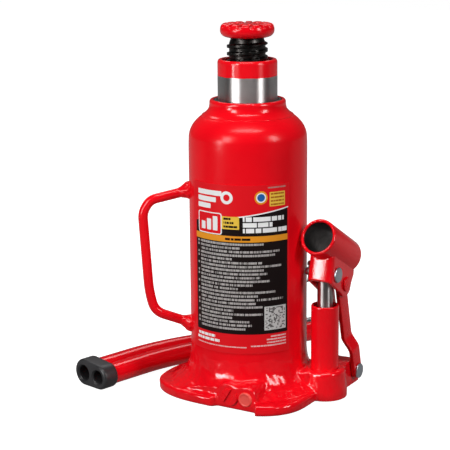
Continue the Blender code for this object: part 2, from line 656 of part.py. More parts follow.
piece("link_pin", lathe(
    pin_profile(PIN_R, -11.4, 9.6, 11.0, HEAD_R - 0.2, 4.4), SMALL,
    place((PUMP_X, PIN_B[0], PIN_B[1]), (1, 0, 0))),
    red("link_pin_red_paint"), pivot_a)

# ------------------------------------------------------------------ link straps
strap_dir = Vector((PIN_B[0] - PIN_C[0], PIN_B[1] - PIN_C[1])).normalized()
strap_len = (Vector(PIN_B) - Vector(PIN_C)).length
# Heights along the strap where the joggle starts and ends, from the lower pin.
JOG_LOW = 17.0
JOG_HIGH = 29.0


def strap(name, side):
    """Flat bar with a joggle: narrow at the top, spread around the lug below."""
    section = [
        (STRAP_LOW_OUT, -STRAP_HALF), (STRAP_LOW_OUT, JOG_LOW), (STRAP_TOP_OUT, JOG_HIGH),
        (STRAP_TOP_OUT, strap_len + STRAP_HALF + 1.0),
        (STRAP_TOP_OUT - STRAP_T, strap_len + STRAP_HALF + 1.0),
        (STRAP_TOP_OUT - STRAP_T, JOG_HIGH - 1.0), (STRAP_LOW_OUT - STRAP_T, JOG_LOW - 1.0),
        (STRAP_LOW_OUT - STRAP_T, -STRAP_HALF),
    ]
    # Drawn in (x, along), extruded across the width, then stood on the link line.
    across = Vector((0.0, strap_dir.y, -strap_dir.x))
    along = Vector((0.0, strap_dir.x, strap_dir.y))
    frame = Matrix.Identity(4)
    for row in range(3):
        frame[row][0] = side if row == 0 else 0.0
        frame[row][1] = along[row]
        frame[row][2] = across[row]
        frame[row][3] = (PUMP_X, PIN_C[0], PIN_C[1])[row] * SCALE
    bar = mesh_object(name, prism(section, -STRAP_HALF - 1.0, STRAP_HALF + 1.0, frame))
    ends = arc((0.0, 0.0), STRAP_HALF, 180.0, 360.0, 12) + arc((0.0, strap_len), STRAP_HALF + 0.6, 0.0,
        180.0, 12)
    flat = Matrix.Identity(4)
    for row in range(3):
        flat[row][0] = across[row]
        flat[row][1] = along[row]
        flat[row][2] = 1.0 if row == 0 else 0.0
        flat[row][3] = (PUMP_X, PIN_C[0], PIN_C[1])[row] * SCALE
    boolean(bar, prism(ends, -20.0, 20.0, flat), "INTERSECT")
    cut(bar, cylinder(3.3, -20.0, 20.0, SMALL, place((PUMP_X, PIN_C[0], PIN_C[1]), (1, 0, 0))))
    cut(bar, cylinder(OPEN_HOLE_R, -20.0, 20.0, SMALL, place((PUMP_X, PIN_B[0], PIN_B[1]), (1, 0, 0))))
    finish(bar, red(name + "_red_paint"), (PUMP_X, PIN_C[0], PIN_C[1]))


strap("link_strap_right", 1.0)
strap("link_strap_left", -1.0)
piece("base_pin", lathe(
    pin_profile(3.0, -13.6, 11.9, 13.5, HEAD_R, 4.8), SMALL, place((PUMP_X, PIN_C[0], PIN_C[1]), (1, 0, 0))),
    steel("base_pin_zinc"), (PUMP_X, PIN_C[0], PIN_C[1]))

# ---------------------------------------------------------------------- valves
valve_frame = place((VALVE_X, -60.0, VALVE_Z), (0, 1, 0))
valve_origin = (VALVE_X, FRONT_Y, VALVE_Z)
valve_profile = [
    (0.0, 10.4), (VALVE_R - 0.7, 10.4), (VALVE_R, 11.1), (VALVE_R, 17.6), (4.5, 17.6), (4.5, 24.0),
    (3.2, 24.0),
    (3.2, 26.2), (4.5, 26.2), (4.5, 31.6), (2.5, 32.8), (2.5, 39.6), (0.0, 39.6),
]
valve = mesh_object("release_valve", lathe(valve_profile, SMALL, valve_frame))
SLOT_LEAN = 31.0
slot = prism([(-1.6, -9.0), (1.6, -9.0), (1.6, 9.0), (-1.6, 9.0)], 0.0, 14.6,
    Matrix.Rotation(math.radians(SLOT_LEAN), 4, "Z"))
bmesh.ops.transform(slot, matrix=valve_frame, verts=slot.verts[:])
cut(valve, slot)
finish(valve, red("release_valve_red_paint"), valve_origin)
o_ring = [(4.05 + 0.6 * math.cos(a), 25.1 + 0.75 * math.sin(a))
    for a in [2 * math.pi * k / 6 for k in range(6)]]
piece("release_valve_o_ring", lathe(o_ring, SMALL, valve_frame), rubber("release_valve_o_ring_rubber"),
    valve_origin)
piece("release_ball", lathe(ball, TINY, place((VALVE_X, -60.0 + 42.6, VALVE_Z), (0, 1, 0))),
      steel("release_ball_steel"), valve_origin)

over_frame = place((OVER_X, -60.0, OVER_Z), (0, 1, 0))
piece("overload_cap", lathe(
    [(0.0, 10.6), (OVER_R - 1.0, 10.6), (OVER_R - 0.1, 11.4), (OVER_R, 12.4), (OVER_R, 15.4), (0.0, 15.4)],
    SMALL, over_frame),
    material("overload_cap_orange_plastic", (0.8, 0.06, 0.04), 0.0, 0.4))
over_screw = mesh_object("overload_screw", cylinder(OVER_R, 15.8, 24.0, SMALL, over_frame))
cut(over_screw, prism([(-0.7, -4.0), (0.7, -4.0), (0.7, 4.0), (-0.7, 4.0)], 10.0, 17.4, over_frame))
finish(over_screw, steel("overload_screw_steel"))
coil = []
COIL_TURNS = 4
COIL_STEPS = 10
for k in range(COIL_TURNS * COIL_STEPS + 1):
    a = 2.0 * math.pi * k / COIL_STEPS
    coil.append((OVER_X + 2.3 * math.cos(a), -60.0 + 25.1 + 9.6 * k / (COIL_TURNS * COIL_STEPS),
        OVER_Z + 2.3 * math.sin(a)))
piece("overload_spring", sweep(coil, 0.5, 5), steel("overload_spring_steel"))
piece("overload_ball", lathe(ball, TINY, place((OVER_X, -60.0 + 38.2, OVER_Z), (0, 1, 0))),
    steel("overload_ball_steel"))

# ---------------------------------------------------------------- loose handle
PITCH = LARGE_R + NEAR_R + GAP
END_WALL = 3.0
SWAGE_AT = 176.0
TAPER = 6.0
NEAR_LENGTH = BUNDLE_LENGTH - 6.0
STRAIGHT_TO = 42.0
STEP = 9.0
BEND_STEPS = 6


def heading(distance):
    for (d0, a0), (d1, a1) in zip(BUNDLE_HEADING, BUNDLE_HEADING[1:]):
        if distance <= d1:
            return math.radians(a0 + (a1 - a0) * (distance - d0) / (d1 - d0))
    return math.radians(BUNDLE_HEADING[-1][1])


def bundle_point(distance, aside, height):
    """Point on the bundle: distance along its curved middle line, aside to the right."""
    x, y = BUNDLE_START
    steps = max(int(distance / 2.0), 1)
    for k in range(steps):
        a = heading((k + 0.5) * distance / steps)
        x += math.cos(a) * distance / steps
        y += math.sin(a) * distance / steps
    a = heading(distance)
    return Vector((x + aside * math.sin(a), y - aside * math.cos(a), height))


def bent_tube(stations, aside, height, segments):
    """Hollow tube along the bundle from (distance, outer radius, inner radius) stations."""
    bm = bmesh.new()
    shells = []
    for which in (1, 2):
        rows = []
        for station in stations:
            middle = bundle_point(station[0], aside, height - CAP_WALL * station[0] / BUNDLE_LENGTH)
            a = heading(station[0])
            right = Vector((math.sin(a), -math.cos(a), 0.0))
            row = []
            for j in range(segments):
                t = 2.0 * math.pi * j / segments
                spot = middle + (right * math.cos(t) + Vector((0.0, 0.0, math.sin(t)))) * station[which]
                row.append(bm.verts.new(spot * SCALE))
            rows.append(row)
        shells.append(rows)
    outer, inner = shells
    for j in range(segments):
        n = (j + 1) % segments
        for rows in shells:
            for low, high in zip(rows, rows[1:]):
                bm.faces.new((low[j], low[n], high[n], high[j]))
        for end in (0, -1):
            bm.faces.new((outer[end][j], outer[end][n], inner[end][n], inner[end][j]))
    return bm


far_aside = -PITCH * 0.5
near_aside = PITCH * 0.5
far_height = LARGE_R + CAP_WALL
near_height = NEAR_R + CAP_WALL
bend = [END_WALL] + [STRAIGHT_TO + STEP * k for k in range(BEND_STEPS + 1)]
stations = [(d, LARGE_R, LARGE_IN_R) for d in bend]
stations += [(SWAGE_AT, LARGE_R, LARGE_IN_R), (SWAGE_AT + TAPER, SWAGE_R, SWAGE_R - 1.4)]
stations += [(BUNDLE_LENGTH, SWAGE_R, SWAGE_R - 1.4)]
piece("handle_tube_large", bent_tube(stations, far_aside, far_height, SMALL),
    red("handle_tube_large_red_paint"))
stations = [(d, NEAR_R, NEAR_IN_R) for d in bend] + [(NEAR_LENGTH, NEAR_R, NEAR_IN_R)]
piece("handle_tube_small", bent_tube(stations, near_aside, near_height, SMALL),
    red("handle_tube_small_red_paint"))

start_heading = heading(0.0)
along = Vector((math.cos(start_heading), math.sin(start_heading), 0.0))
beside = Vector((math.sin(start_heading), -math.cos(start_heading), 0.0))
cap_outline = arc((near_aside, near_height), near_height, -90.0, 82.0, 11)
cap_outline += arc((far_aside, far_height), far_height, 86.0, 270.0, 12)
cap_frame = Matrix.Identity(4)
for row in range(3):
    cap_frame[row][0] = beside[row]
    cap_frame[row][1] = 1.0 if row == 2 else 0.0
    cap_frame[row][2] = along[row]
    cap_frame[row][3] = (BUNDLE_START[0], BUNDLE_START[1], 0.0)[row] * SCALE
cap_body = prism(cap_outline, 0.0, CAP_LENGTH)
front_rim = [e for e in cap_body.edges if all(v.co.z < MERGE for v in e.verts)]
bevel_edges(cap_body, front_rim, 1.6, 2)
bmesh.ops.transform(cap_body, matrix=cap_frame, verts=cap_body.verts[:])
cap = mesh_object("handle_end_cap", cap_body)
for aside, height, radius, bore in (
    (far_aside, far_height, LARGE_R, LARGE_IN_R - 0.8), (near_aside, near_height, NEAR_R, NEAR_IN_R - 0.8),
):
    axis_point = bundle_point(0.0, aside, height)
    cut(cap, cylinder(radius + 2.0 * GAP, END_WALL - GAP, CAP_LENGTH + 5.0, SMALL, place(axis_point, along)))
    cut(cap, cylinder(bore, -5.0, CAP_LENGTH, SMALL, place(axis_point, along)))
finish(cap, rubber("handle_end_cap_rubber"))
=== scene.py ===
import math

import bmesh
import bpy
import numpy as np
from mathutils import Matrix, Vector


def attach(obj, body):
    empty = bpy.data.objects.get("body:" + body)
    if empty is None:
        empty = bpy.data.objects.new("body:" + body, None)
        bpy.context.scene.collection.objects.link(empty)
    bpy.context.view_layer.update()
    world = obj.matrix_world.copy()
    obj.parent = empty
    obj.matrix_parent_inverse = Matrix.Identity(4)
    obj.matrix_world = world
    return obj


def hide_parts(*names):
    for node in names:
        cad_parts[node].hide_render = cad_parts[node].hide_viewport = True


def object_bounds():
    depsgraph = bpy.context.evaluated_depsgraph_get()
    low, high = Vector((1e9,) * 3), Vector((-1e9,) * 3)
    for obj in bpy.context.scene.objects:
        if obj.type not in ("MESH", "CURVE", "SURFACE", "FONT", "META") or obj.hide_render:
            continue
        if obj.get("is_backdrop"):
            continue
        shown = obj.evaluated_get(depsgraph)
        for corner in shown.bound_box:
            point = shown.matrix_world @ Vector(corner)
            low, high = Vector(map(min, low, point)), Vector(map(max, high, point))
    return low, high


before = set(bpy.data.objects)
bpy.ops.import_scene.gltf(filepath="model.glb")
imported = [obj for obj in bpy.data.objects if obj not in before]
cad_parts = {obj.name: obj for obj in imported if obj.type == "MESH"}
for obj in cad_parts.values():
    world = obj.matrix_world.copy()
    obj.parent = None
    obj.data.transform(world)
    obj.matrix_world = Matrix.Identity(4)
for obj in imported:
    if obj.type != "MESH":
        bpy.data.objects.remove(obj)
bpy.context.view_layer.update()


# ---- Studio -----------------------------------------------------------------
# White paper sweep, a tall softbox on each side, a long one overhead, a low card
# at the left and a rim light behind. The room in front is dimmer than the sweep.
def node(tree, kind, inputs=(), **settings):
    """Add a node; inputs is a dict or a list of constants and sockets."""
    made = tree.nodes.new(kind)
    for key, value in settings.items():
        setattr(made, key, value)
    pairs = inputs.items() if isinstance(inputs, dict) else enumerate(inputs)
    for key, value in pairs:
        if isinstance(value, bpy.types.NodeSocket):
            tree.links.new(value, made.inputs[key])
        elif value is not None:
            made.inputs[key].default_value = value
    return made


def maths(tree, operation, *values):
    return node(tree, "ShaderNodeMath", values, operation=operation).outputs[0]


def softbox(name, position, target, width, height, watts):
    """Rectangular light in metres and watts, turned to face its target."""
    light = bpy.data.lights.new(name, "AREA")
    light.shape = "RECTANGLE"
    light.size = width
    light.size_y = height
    light.energy = watts
    holder = bpy.data.objects.new(name, light)
    holder.location = position
    holder.rotation_mode = "QUATERNION"
    holder.rotation_quaternion = (Vector(target) - Vector(position)).to_track_quat("-Z", "Y")
    bpy.context.scene.collection.objects.link(holder)


CAMERA_AT = (0.4936, -0.8549, 0.35005)
HEADING = math.radians(30.947)
PITCH_DOWN = math.radians(13.19)
ROLL = math.radians(-0.54)
view_x = Vector((math.cos(HEADING), math.sin(HEADING), 0.0))
view_z = -Vector((
    -math.sin(HEADING) * math.cos(PITCH_DOWN), math.cos(HEADING) * math.cos(PITCH_DOWN), -math.sin(PITCH_DOWN),
))
view_y = view_z.cross(view_x)
side = view_x * math.cos(ROLL) + view_y * math.sin(ROLL)
upright = view_y * math.cos(ROLL) - view_x * math.sin(ROLL)
camera_data = bpy.data.cameras.new("camera")
camera_data.lens = 116.04
camera_data.sensor_width = 36.0
camera_data.clip_start = 0.05
camera = bpy.data.objects.new("camera", camera_data)
turn = Matrix((side, upright, view_z)).transposed().to_4x4()
camera.matrix_world = Matrix.Translation(CAMERA_AT) @ turn
bpy.context.scene.collection.objects.link(camera)
bpy.context.scene.camera = camera
bpy.context.scene.view_settings.view_transform = "Standard"

CAMERA_AZIMUTH = math.atan2(CAMERA_AT[1], CAMERA_AT[0])


def around(degrees, distance, height):
    """Point at that angle to the right (+) or left (-) of the camera, seen from above."""
    a = CAMERA_AZIMUTH + math.radians(degrees)
    return (distance * math.cos(a), distance * math.sin(a), height)


# Name, place, what it faces, width and height in metres, power in watts.
softbox("softbox_left", around(-42.0, 1.4, 0.72), (0.0, 0.0, 0.13), 0.34, 0.62, 10.0)
softbox("softbox_right", around(53.0, 1.4, 0.72), (0.0, 0.0, 0.13), 0.34, 0.62, 9.5)
softbox("softbox_top", around(-4.0, 0.5, 1.35), (0.0, 0.0, 0.12), 0.9, 0.24, 8.5)
softbox("low_card", around(-55.0, 1.3, 0.26), (0.0, 0.0, 0.1), 0.2, 0.3, 4.4)
softbox("rim_light", around(185.0, 0.9, 1.1), (0.0, 0.05, 0.08), 1.1, 0.3, 4.0)

world = bpy.data.worlds.new("studio")
bpy.context.scene.world = world
world.use_nodes = True
sky = world.node_tree
sky.nodes.clear()
direction = node(sky, "ShaderNodeTexCoord").outputs["Generated"]
toward_camera = tuple(Vector(CAMERA_AT).normalized())
facing = node(sky, "ShaderNodeVectorMath", [direction, toward_camera], operation="DOT_PRODUCT").outputs["Value"]
room = node(sky, "ShaderNodeMapRange", {
    "Value": facing, "From Min": -0.55, "From Max": 0.1, "To Min": 0.08, "To Max": 0.015}).outputs[0]
seen = node(sky, "ShaderNodeLightPath").outputs["Is Camera Ray"]
strength = maths(sky, "MAXIMUM", seen, room)
glow = node(sky, "ShaderNodeBackground", {"Color": (1.0, 1.0, 1.0, 1.0), "Strength": strength})
node(sky, "ShaderNodeOutputWorld", {"Surface": glow.outputs[0]})

FLOOR_REACH, FLOOR_DROP = 3.0, -0.0004
floor_mesh = bpy.data.meshes.new("paper_floor")
floor_mesh.from_pydata([
    (x * FLOOR_REACH, y * FLOOR_REACH, FLOOR_DROP) for x, y in ((-1, -1), (1, -1), (1, 1), (-1, 1))],
    [], [(0, 1, 2, 3)])
floor = bpy.data.objects.new("paper_floor", floor_mesh)
bpy.context.scene.collection.objects.link(floor)


def new_finish(name):
    """Empty material with nodes: the material, its tree and its Principled shader."""
    made = bpy.data.materials.new(name)
    made.use_nodes = True
    return made, made.node_tree, made.node_tree.nodes["Principled BSDF"]


paper, tree, shader = new_finish("white_paper")
shader.inputs["Roughness"].default_value = 0.9
shader.inputs["Specular IOR Level"].default_value = 0.0
looked_at = node(tree, "ShaderNodeLightPath").outputs["Is Camera Ray"]
tree.links.new(node(tree, "ShaderNodeMapRange", {"Value": looked_at, "To Min": 0.12, "To Max": 0.5}).outputs[0],
               shader.inputs["Base Color"])
shader.inputs["Emission Color"].default_value = (1.0, 1.0, 1.0, 1.0)
toward = node(tree, "ShaderNodeVectorMath", [
    node(tree, "ShaderNodeNewGeometry").outputs["Position"],
    (math.cos(CAMERA_AZIMUTH), math.sin(CAMERA_AZIMUTH), 0.0),
], operation="DOT_PRODUCT").outputs["Value"]
sweep_glow = node(tree, "ShaderNodeMapRange", {
    "Value": toward, "From Min": -0.12, "From Max": 0.08, "To Min": 0.26, "To Max": 0.02}).outputs[0]
tree.links.new(maths(tree, "MAXIMUM", looked_at, sweep_glow), shader.inputs["Emission Strength"])
floor_mesh.materials.append(paper)
floor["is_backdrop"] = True


# ---- Base casting -----------------------------------------------------------
# Grey iron, sand cast in one piece: flange, flared collar, valve boss, pump
# boss and the lug for the link. Painted after casting, so its edges are soft.
MM = 0.001


def soften(corners, closed=False, steps=5):
    """Round every corner (x, y, radius) with a curve that leaves and joins its two sides at that distance."""
    points = np.array([c[:2] for c in corners], dtype=float)
    count = len(points)
    out = []
    for k, corner in enumerate(corners):
        here = points[k]
        inner = closed or 0 < k < count - 1
        if not inner or corner[2] <= 0.0:
            out.append(here[None, :])
            continue
        before = points[k - 1] - here
        after = points[(k + 1) % count] - here
        reach = min(corner[2], 0.48 * np.linalg.norm(before), 0.48 * np.linalg.norm(after))
        first = here + before / np.linalg.norm(before) * reach
        last = here + after / np.linalg.norm(after) * reach
        t = np.linspace(0.0, 1.0, steps + 1)[:, None]
        out.append(first * (1 - t) ** 2 + here * 2 * t * (1 - t) + last * t ** 2)
    return np.concatenate(out)


def turned(profile, columns=96):
    """Surface of revolution: each profile point (r, z) goes round Z as (r cos a, r sin a, z)."""
    a = np.linspace(0.0, 2.0 * np.pi, columns, endpoint=False)
    r = profile[:, 0][:, None]
    z = np.repeat(profile[:, 1][:, None], columns, axis=1)
    return np.stack([r * np.cos(a), r * np.sin(a), z], axis=-1)


def stand(points, origin, axis=(0.0, 0.0, 1.0)):
    """Turn +Z onto axis, then move the array to origin."""
    spin = np.array(Vector((0.0, 0.0, 1.0)).rotation_difference(Vector(axis)).to_matrix())
    return points @ spin.T + np.array(origin, dtype=float)


def slab(outline, low, high, edge, rings=4):
    """Plate: the outline at low and high, drawn in towards its middle by a quarter round of size edge."""
    middle = outline.mean(axis=0)
    outward = outline - middle
    length = np.linalg.norm(outward, axis=1)[:, None]
    a = np.linspace(0.0, np.pi / 2, rings + 1)
    inset = np.concatenate([edge * (1 - np.sin(a)), edge * (1 - np.cos(a))])
    level = np.concatenate([low + edge * (1 - np.cos(a)), high - edge + edge * np.sin(a)])
    ring = outline[None, :, :] - (outward / length)[None, :, :] * inset[:, None, None]
    z = np.repeat(level[:, None, None], len(outline), axis=1)
    return np.concatenate([ring, z], axis=-1)


def mesh_from(name, points, ring=False):
    """Closed mesh from rows x columns x 3 millimetres. Columns join round; rows join too for a ring."""
    rows, columns = points.shape[:2]
    r = np.arange(rows if ring else rows - 1)[:, None]
    c = np.arange(columns)[None, :]
    here, beside = r * columns + c, r * columns + (c + 1) % columns
    above, across = (r + 1) % rows * columns + c, (r + 1) % rows * columns + (c + 1) % columns
    faces = np.stack([here, beside, across, above], axis=-1).reshape(-1, 4).tolist()
    if not ring:
        faces.append(list(range(columns)))
        faces.append(list(range((rows - 1) * columns, rows * columns)))
    mesh = bpy.data.meshes.new(name)
    mesh.from_pydata((points.reshape(-1, 3) * MM).tolist(), [], faces)
    clean = bmesh.new()
    clean.from_mesh(mesh)
    bmesh.ops.remove_doubles(clean, verts=clean.verts[:], dist=1e-6)
    bmesh.ops.dissolve_degenerate(clean, dist=1e-7, edges=clean.edges[:])
    bmesh.ops.recalc_face_normals(clean, faces=clean.faces[:])
    clean.to_mesh(mesh)
    clean.free()
    return mesh


def make(name, mesh, sharp=40.0):
    """Object for a mesh, smooth except across edges sharper than that many degrees."""
    made = bpy.data.objects.new(name, mesh)
    bpy.context.scene.collection.objects.link(made)
    mesh.shade_smooth()
    mesh.set_sharp_from_angle(angle=math.radians(sharp))
    return made


def turned_piece(name, corners, columns, origin=(0.0, 0.0, 0.0), axis=(0.0, 0.0, 1.0), hollow=False,
                 steps=5):
    """Lathe work: the softened corners turned round an axis; a hollow one's profile is a closed loop."""
    shape = stand(turned(soften(corners, hollow, steps), columns), origin, axis)
    return make(name, mesh_from(name, shape, hollow))


def bake(made):
    """Turn the modifiers into mesh, so that later steps see the finished shape."""
    bpy.context.view_layer.update()
    done = bpy.data.meshes.new_from_object(made.evaluated_get(bpy.context.evaluated_depsgraph_get()))
    made.modifiers.clear()
    made.data = done


def bore(made, tool_mesh):
    """Cut the closed tool mesh out of the piece."""
    tool = bpy.data.objects.new("tool", tool_mesh)
    bpy.context.scene.collection.objects.link(tool)
    step = made.modifiers.new("bore", "BOOLEAN")
    step.operation = "DIFFERENCE"
    step.object = tool
    bake(made)
    bpy.data.objects.remove(tool, do_unlink=True)


def fit(made, finish, body, solid):
    """Give a piece its finish and body, and hide the solid it stands for."""
    made.data.materials.clear()
    made.data.materials.append(finish)
    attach(made, body)
    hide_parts(solid)


def group(name, inputs, outputs):
    """Empty node group with named sockets; returns the tree and its input and output nodes."""
    made = bpy.data.node_groups.new(name, "ShaderNodeTree")
    for label, kind, value in inputs:
        socket = made.interface.new_socket(label, in_out="INPUT", socket_type=kind)
        if value is not None:
            socket.default_value = value
    for label, kind in outputs:
        made.interface.new_socket(label, in_out="OUTPUT", socket_type=kind)
    return made, made.nodes.new("NodeGroupInput"), made.nodes.new("NodeGroupOutput")


# Paint over metal: broad lumps of the metal below, fine orange peel on top.
skin, skin_in, skin_out = group("paint_skin", [
    ("Position", "NodeSocketVector", None), ("Lump Size", "NodeSocketFloat", 60.0),
    ("Lump Depth", "NodeSocketFloat", 0.5), ("Peel Depth", "NodeSocketFloat", 0.1),
], [("Height", "NodeSocketFloat"), ("Shade", "NodeSocketFloat"), ("Gloss", "NodeSocketFloat")])
lumps = node(skin, "ShaderNodeTexNoise", {
    "Vector": skin_in.outputs["Position"], "Scale": skin_in.outputs["Lump Size"], "Detail": 3.0,
    "Roughness": 0.45})
peel = node(skin, "ShaderNodeTexNoise", {
    "Vector": skin_in.outputs["Position"], "Scale": 900.0, "Detail": 2.0, "Roughness": 0.5})
broad = node(skin, "ShaderNodeTexNoise", {
    "Vector": skin_in.outputs["Position"], "Scale": 26.0, "Detail": 2.0})
lump_height = maths(skin, "MULTIPLY", lumps.outputs[0], skin_in.outputs["Lump Depth"])
peel_height = maths(skin, "MULTIPLY", peel.outputs[0], skin_in.outputs["Peel Depth"])
skin.links.new(maths(skin, "ADD", lump_height, peel_height), skin_out.inputs["Height"])
skin.links.new(broad.outputs[0], skin_out.inputs["Shade"])
skin.links.new(lumps.outputs[0], skin_out.inputs["Gloss"])

RED_LIGHT = (0.86, 0.003, 0.010, 1.0)
RED_DEEP = (0.76, 0.002, 0.008, 1.0)


def over(tree, under, factor, colour):
    """Lay a colour over another, or over a socket, by a factor from 0 to 1."""
    return node(tree, "ShaderNodeMix", {0: factor, 6: under, 7: colour}, data_type="RGBA").outputs[2]


def remap(tree, value, low, high, start=0.3, end=0.7):
    """Noise mostly lies from 0.3 to 0.7; stretch that part to the range low to high."""
    return node(tree, "ShaderNodeMapRange", {
        "Value": value, "From Min": start, "From Max": end, "To Min": low, "To Max": high}).outputs[0]


def raise_by(tree, shader, height, strength, distance):
    """Bump from a height, in metres at full height, into the shader's normal."""
    relief = node(tree, "ShaderNodeBump", {"Strength": strength, "Distance": distance, "Height": height})
    tree.links.new(relief.outputs[0], shader.inputs["Normal"])


def enamel(name, lump_size=60.0, lump_depth=0.2, peel_depth=0.06, smooth=0.22, rough=0.34, shine=0.4,
           deep=RED_DEEP, light=RED_LIGHT):
    """Gloss enamel: two close shades, uneven gloss, bump from the skin group."""
    made, tree, shader = new_finish(name)
    place = node(tree, "ShaderNodeTexCoord").outputs["Object"]
    surface = node(tree, "ShaderNodeGroup", node_tree=skin)
    tree.links.new(place, surface.inputs["Position"])
    surface.inputs["Lump Size"].default_value = lump_size
    surface.inputs["Lump Depth"].default_value = lump_depth
    surface.inputs["Peel Depth"].default_value = peel_depth
    shade = remap(tree, surface.outputs["Shade"], 0.0, 1.0, end=0.6)
    tree.links.new(over(tree, deep, shade, light), shader.inputs["Base Color"])
    tree.links.new(remap(tree, surface.outputs["Gloss"], smooth, rough), shader.inputs["Roughness"])
    raise_by(tree, shader, surface.outputs["Height"], 1.0, 0.001)
    shader.inputs["Specular IOR Level"].default_value = shine
    return made


FLANGE_TOP = 8.0
FRONT_Y = -48.5
PUMP_X, PUMP_Y = 55.6, 9.5
LINK_Y, LINK_Z = 40.0, 11.0

# The solids that make up the casting: corners are (along, up or across, how far the curve reaches).
flange_corners = [
    (-1.0, -52.0, 1.5), (1.5, -48.5, 0.8), (32.5, -48.5, 0.8), (35.0, -54.0, 1.2), (41.0, -51.0, 3.0),
    (48.5, -45.5, 5.0), (54.5, -37.0, 5.0), (57.3, -27.0, 5.0), (57.5, -12.0, 5.0), (57.5, 20.0, 3.0),
    (47.0, 24.0, 3.0), (44.0, 33.0, 3.0), (40.0, 44.0, 6.0), (30.0, 53.0, 8.0), (16.0, 57.0, 8.0),
    (-6.0, 57.2, 10.0), (-26.0, 51.0, 12.0), (-42.0, 39.0, 12.0), (-53.0, 22.0, 12.0), (-58.5, 3.0, 8.0),
    (-59.5, -10.0, 6.0), (-59.2, -22.0, 6.0), (-56.3, -32.0, 6.0), (-50.8, -39.5, 5.0), (-42.0, -45.5, 5.0),
    (-30.0, -49.7, 6.0), (-15.0, -51.6, 6.0),
]
flange = slab(soften(flange_corners, closed=True), 0.0, FLANGE_TOP, 2.4)
collar = turned(soften([
    (0.0, 1.0, 0.0), (56.0, 1.0, 0.0), (56.0, 7.8, 1.0), (51.5, 10.6, 2.5), (47.2, 13.2, 3.0),
    (44.4, 16.8, 3.0), (42.4, 22.0, 3.0), (41.45, 28.0, 2.0), (40.8, 36.0, 0.0), (0.0, 36.0, 0.0)]), 128)
collar[:, :, 1] = np.maximum(collar[:, :, 1], FRONT_Y + 1.5)
valve_block = slab(soften([
    (0.8, 1.0, 0.0), (33.0, 1.0, 0.0), (32.4, 14.5, 4.0), (27.0, 18.2, 5.0), (16.0, 17.2, 5.0),
    (9.0, 18.6, 5.0), (3.0, 15.6, 4.0)], closed=True), -30.0, -FRONT_Y, 1.6)
valve_block = valve_block[:, :, [0, 2, 1]] * np.array([1.0, -1.0, 1.0])
# The valve block's top climbs 7 mm over the 20 mm behind its face.
rise = np.clip((valve_block[:, :, 1] - FRONT_Y) / 20.0, 0.0, 1.0)
valve_block[:, :, 2] += 7.0 * rise * (valve_block[:, :, 2] > 8.0)
pump_boss = stand(turned(soften([
    (0.0, 0.2, 0.0), (16.0, 0.2, 0.0), (16.0, 6.0, 3.0), (14.6, 19.4, 1.5), (13.2, 21.0, 1.4),
    (0.0, 21.0, 0.0)])), (PUMP_X, PUMP_Y, 0.0))
bridge = slab(soften([
    (30.0, -8.0, 2.0), (50.0, -7.0, 4.0), (57.0, 8.0, 2.0), (52.0, 22.0, 4.0), (30.0, 24.0, 2.0)], closed=True),
    1.0, 20.4, 2.0)
lug_outline = soften([
    (14.0, 0.2, 0.0), (48.5, 0.2, 1.0), (48.5, 11.5, 7.0), (44.5, 19.5, 7.0), (36.0, 19.5, 6.0),
    (14.0, 18.0, 0.0)], closed=True)
lug = slab(lug_outline, -8.2, 8.2, 1.2)[:, :, [2, 0, 1]] + np.array([PUMP_X, 0.0, 0.0])
VALVE_X, VALVE_Z = 12.6, 8.9
OVER_X, OVER_Z = 24.8, 9.2
valve_rims = [
    stand(turned(soften([(0.0, 0.0, 0.0), (r, 0.0, 1.5), (r, 20.0, 0.0), (0.0, 20.0, 0.0)]), 48),
          (x, FRONT_Y + 0.4, z), (0, 1, 0))
    for x, z, r in ((VALVE_X, VALVE_Z + 0.3, 8.8), (OVER_X, OVER_Z + 0.2, 8.2))]

# One skin over all of them, smoothed as paint and a worn pattern leave it.
joined = bmesh.new()
for solid in [flange, collar, valve_block, pump_boss, bridge, lug] + valve_rims:
    joined.from_mesh(mesh_from("casting_part", solid))
rough_mesh = bpy.data.meshes.new("base_casting")
joined.to_mesh(rough_mesh)
joined.free()
casting = make("base_casting", rough_mesh)
step = casting.modifiers.new("one_skin", "REMESH")
step.mode = "VOXEL"
step.voxel_size = 0.7 * MM
step.adaptivity = 0.0
step = casting.modifiers.new("soft", "SMOOTH")
step.factor = 0.6
step.iterations = 3
bake(casting)

# Sand-cast waviness: every vertex moves along its normal by two products of sines of its place,
# faded out near the ground and at the top of the collar.
count = len(casting.data.vertices)
spots = np.empty(count * 3)
casting.data.vertices.foreach_get("co", spots)
spots = spots.reshape(-1, 3)
normals = np.empty(count * 3)
casting.data.vertex_normals.foreach_get("vector", normals)
normals = normals.reshape(-1, 3)
p = spots / MM
wave = np.sin(p[:, 0] * 0.31 + 1.3 * np.sin(p[:, 1] * 0.17)) * np.sin(p[:, 1] * 0.27 + p[:, 2] * 0.35 + 0.8)
wave += 0.6 * np.sin(p[:, 0] * 0.71 + p[:, 2] * 0.5 + 2.0) * np.sin(p[:, 1] * 0.63 + 1.0)
inside = np.clip((p[:, 2] - 1.0) / 3.0, 0.0, 1.0) * np.clip((36.0 - p[:, 2]) / 8.0, 0.0, 1.0)
WAVE_HEIGHT, SKIN_BACK = 0.22, 0.2
spots = spots + normals * (wave * inside * WAVE_HEIGHT - SKIN_BACK)[:, None] * MM
spots[:, 2] = np.maximum(spots[:, 2], 0.0)
casting.data.vertices.foreach_set("co", spots.ravel())
casting.data.update()

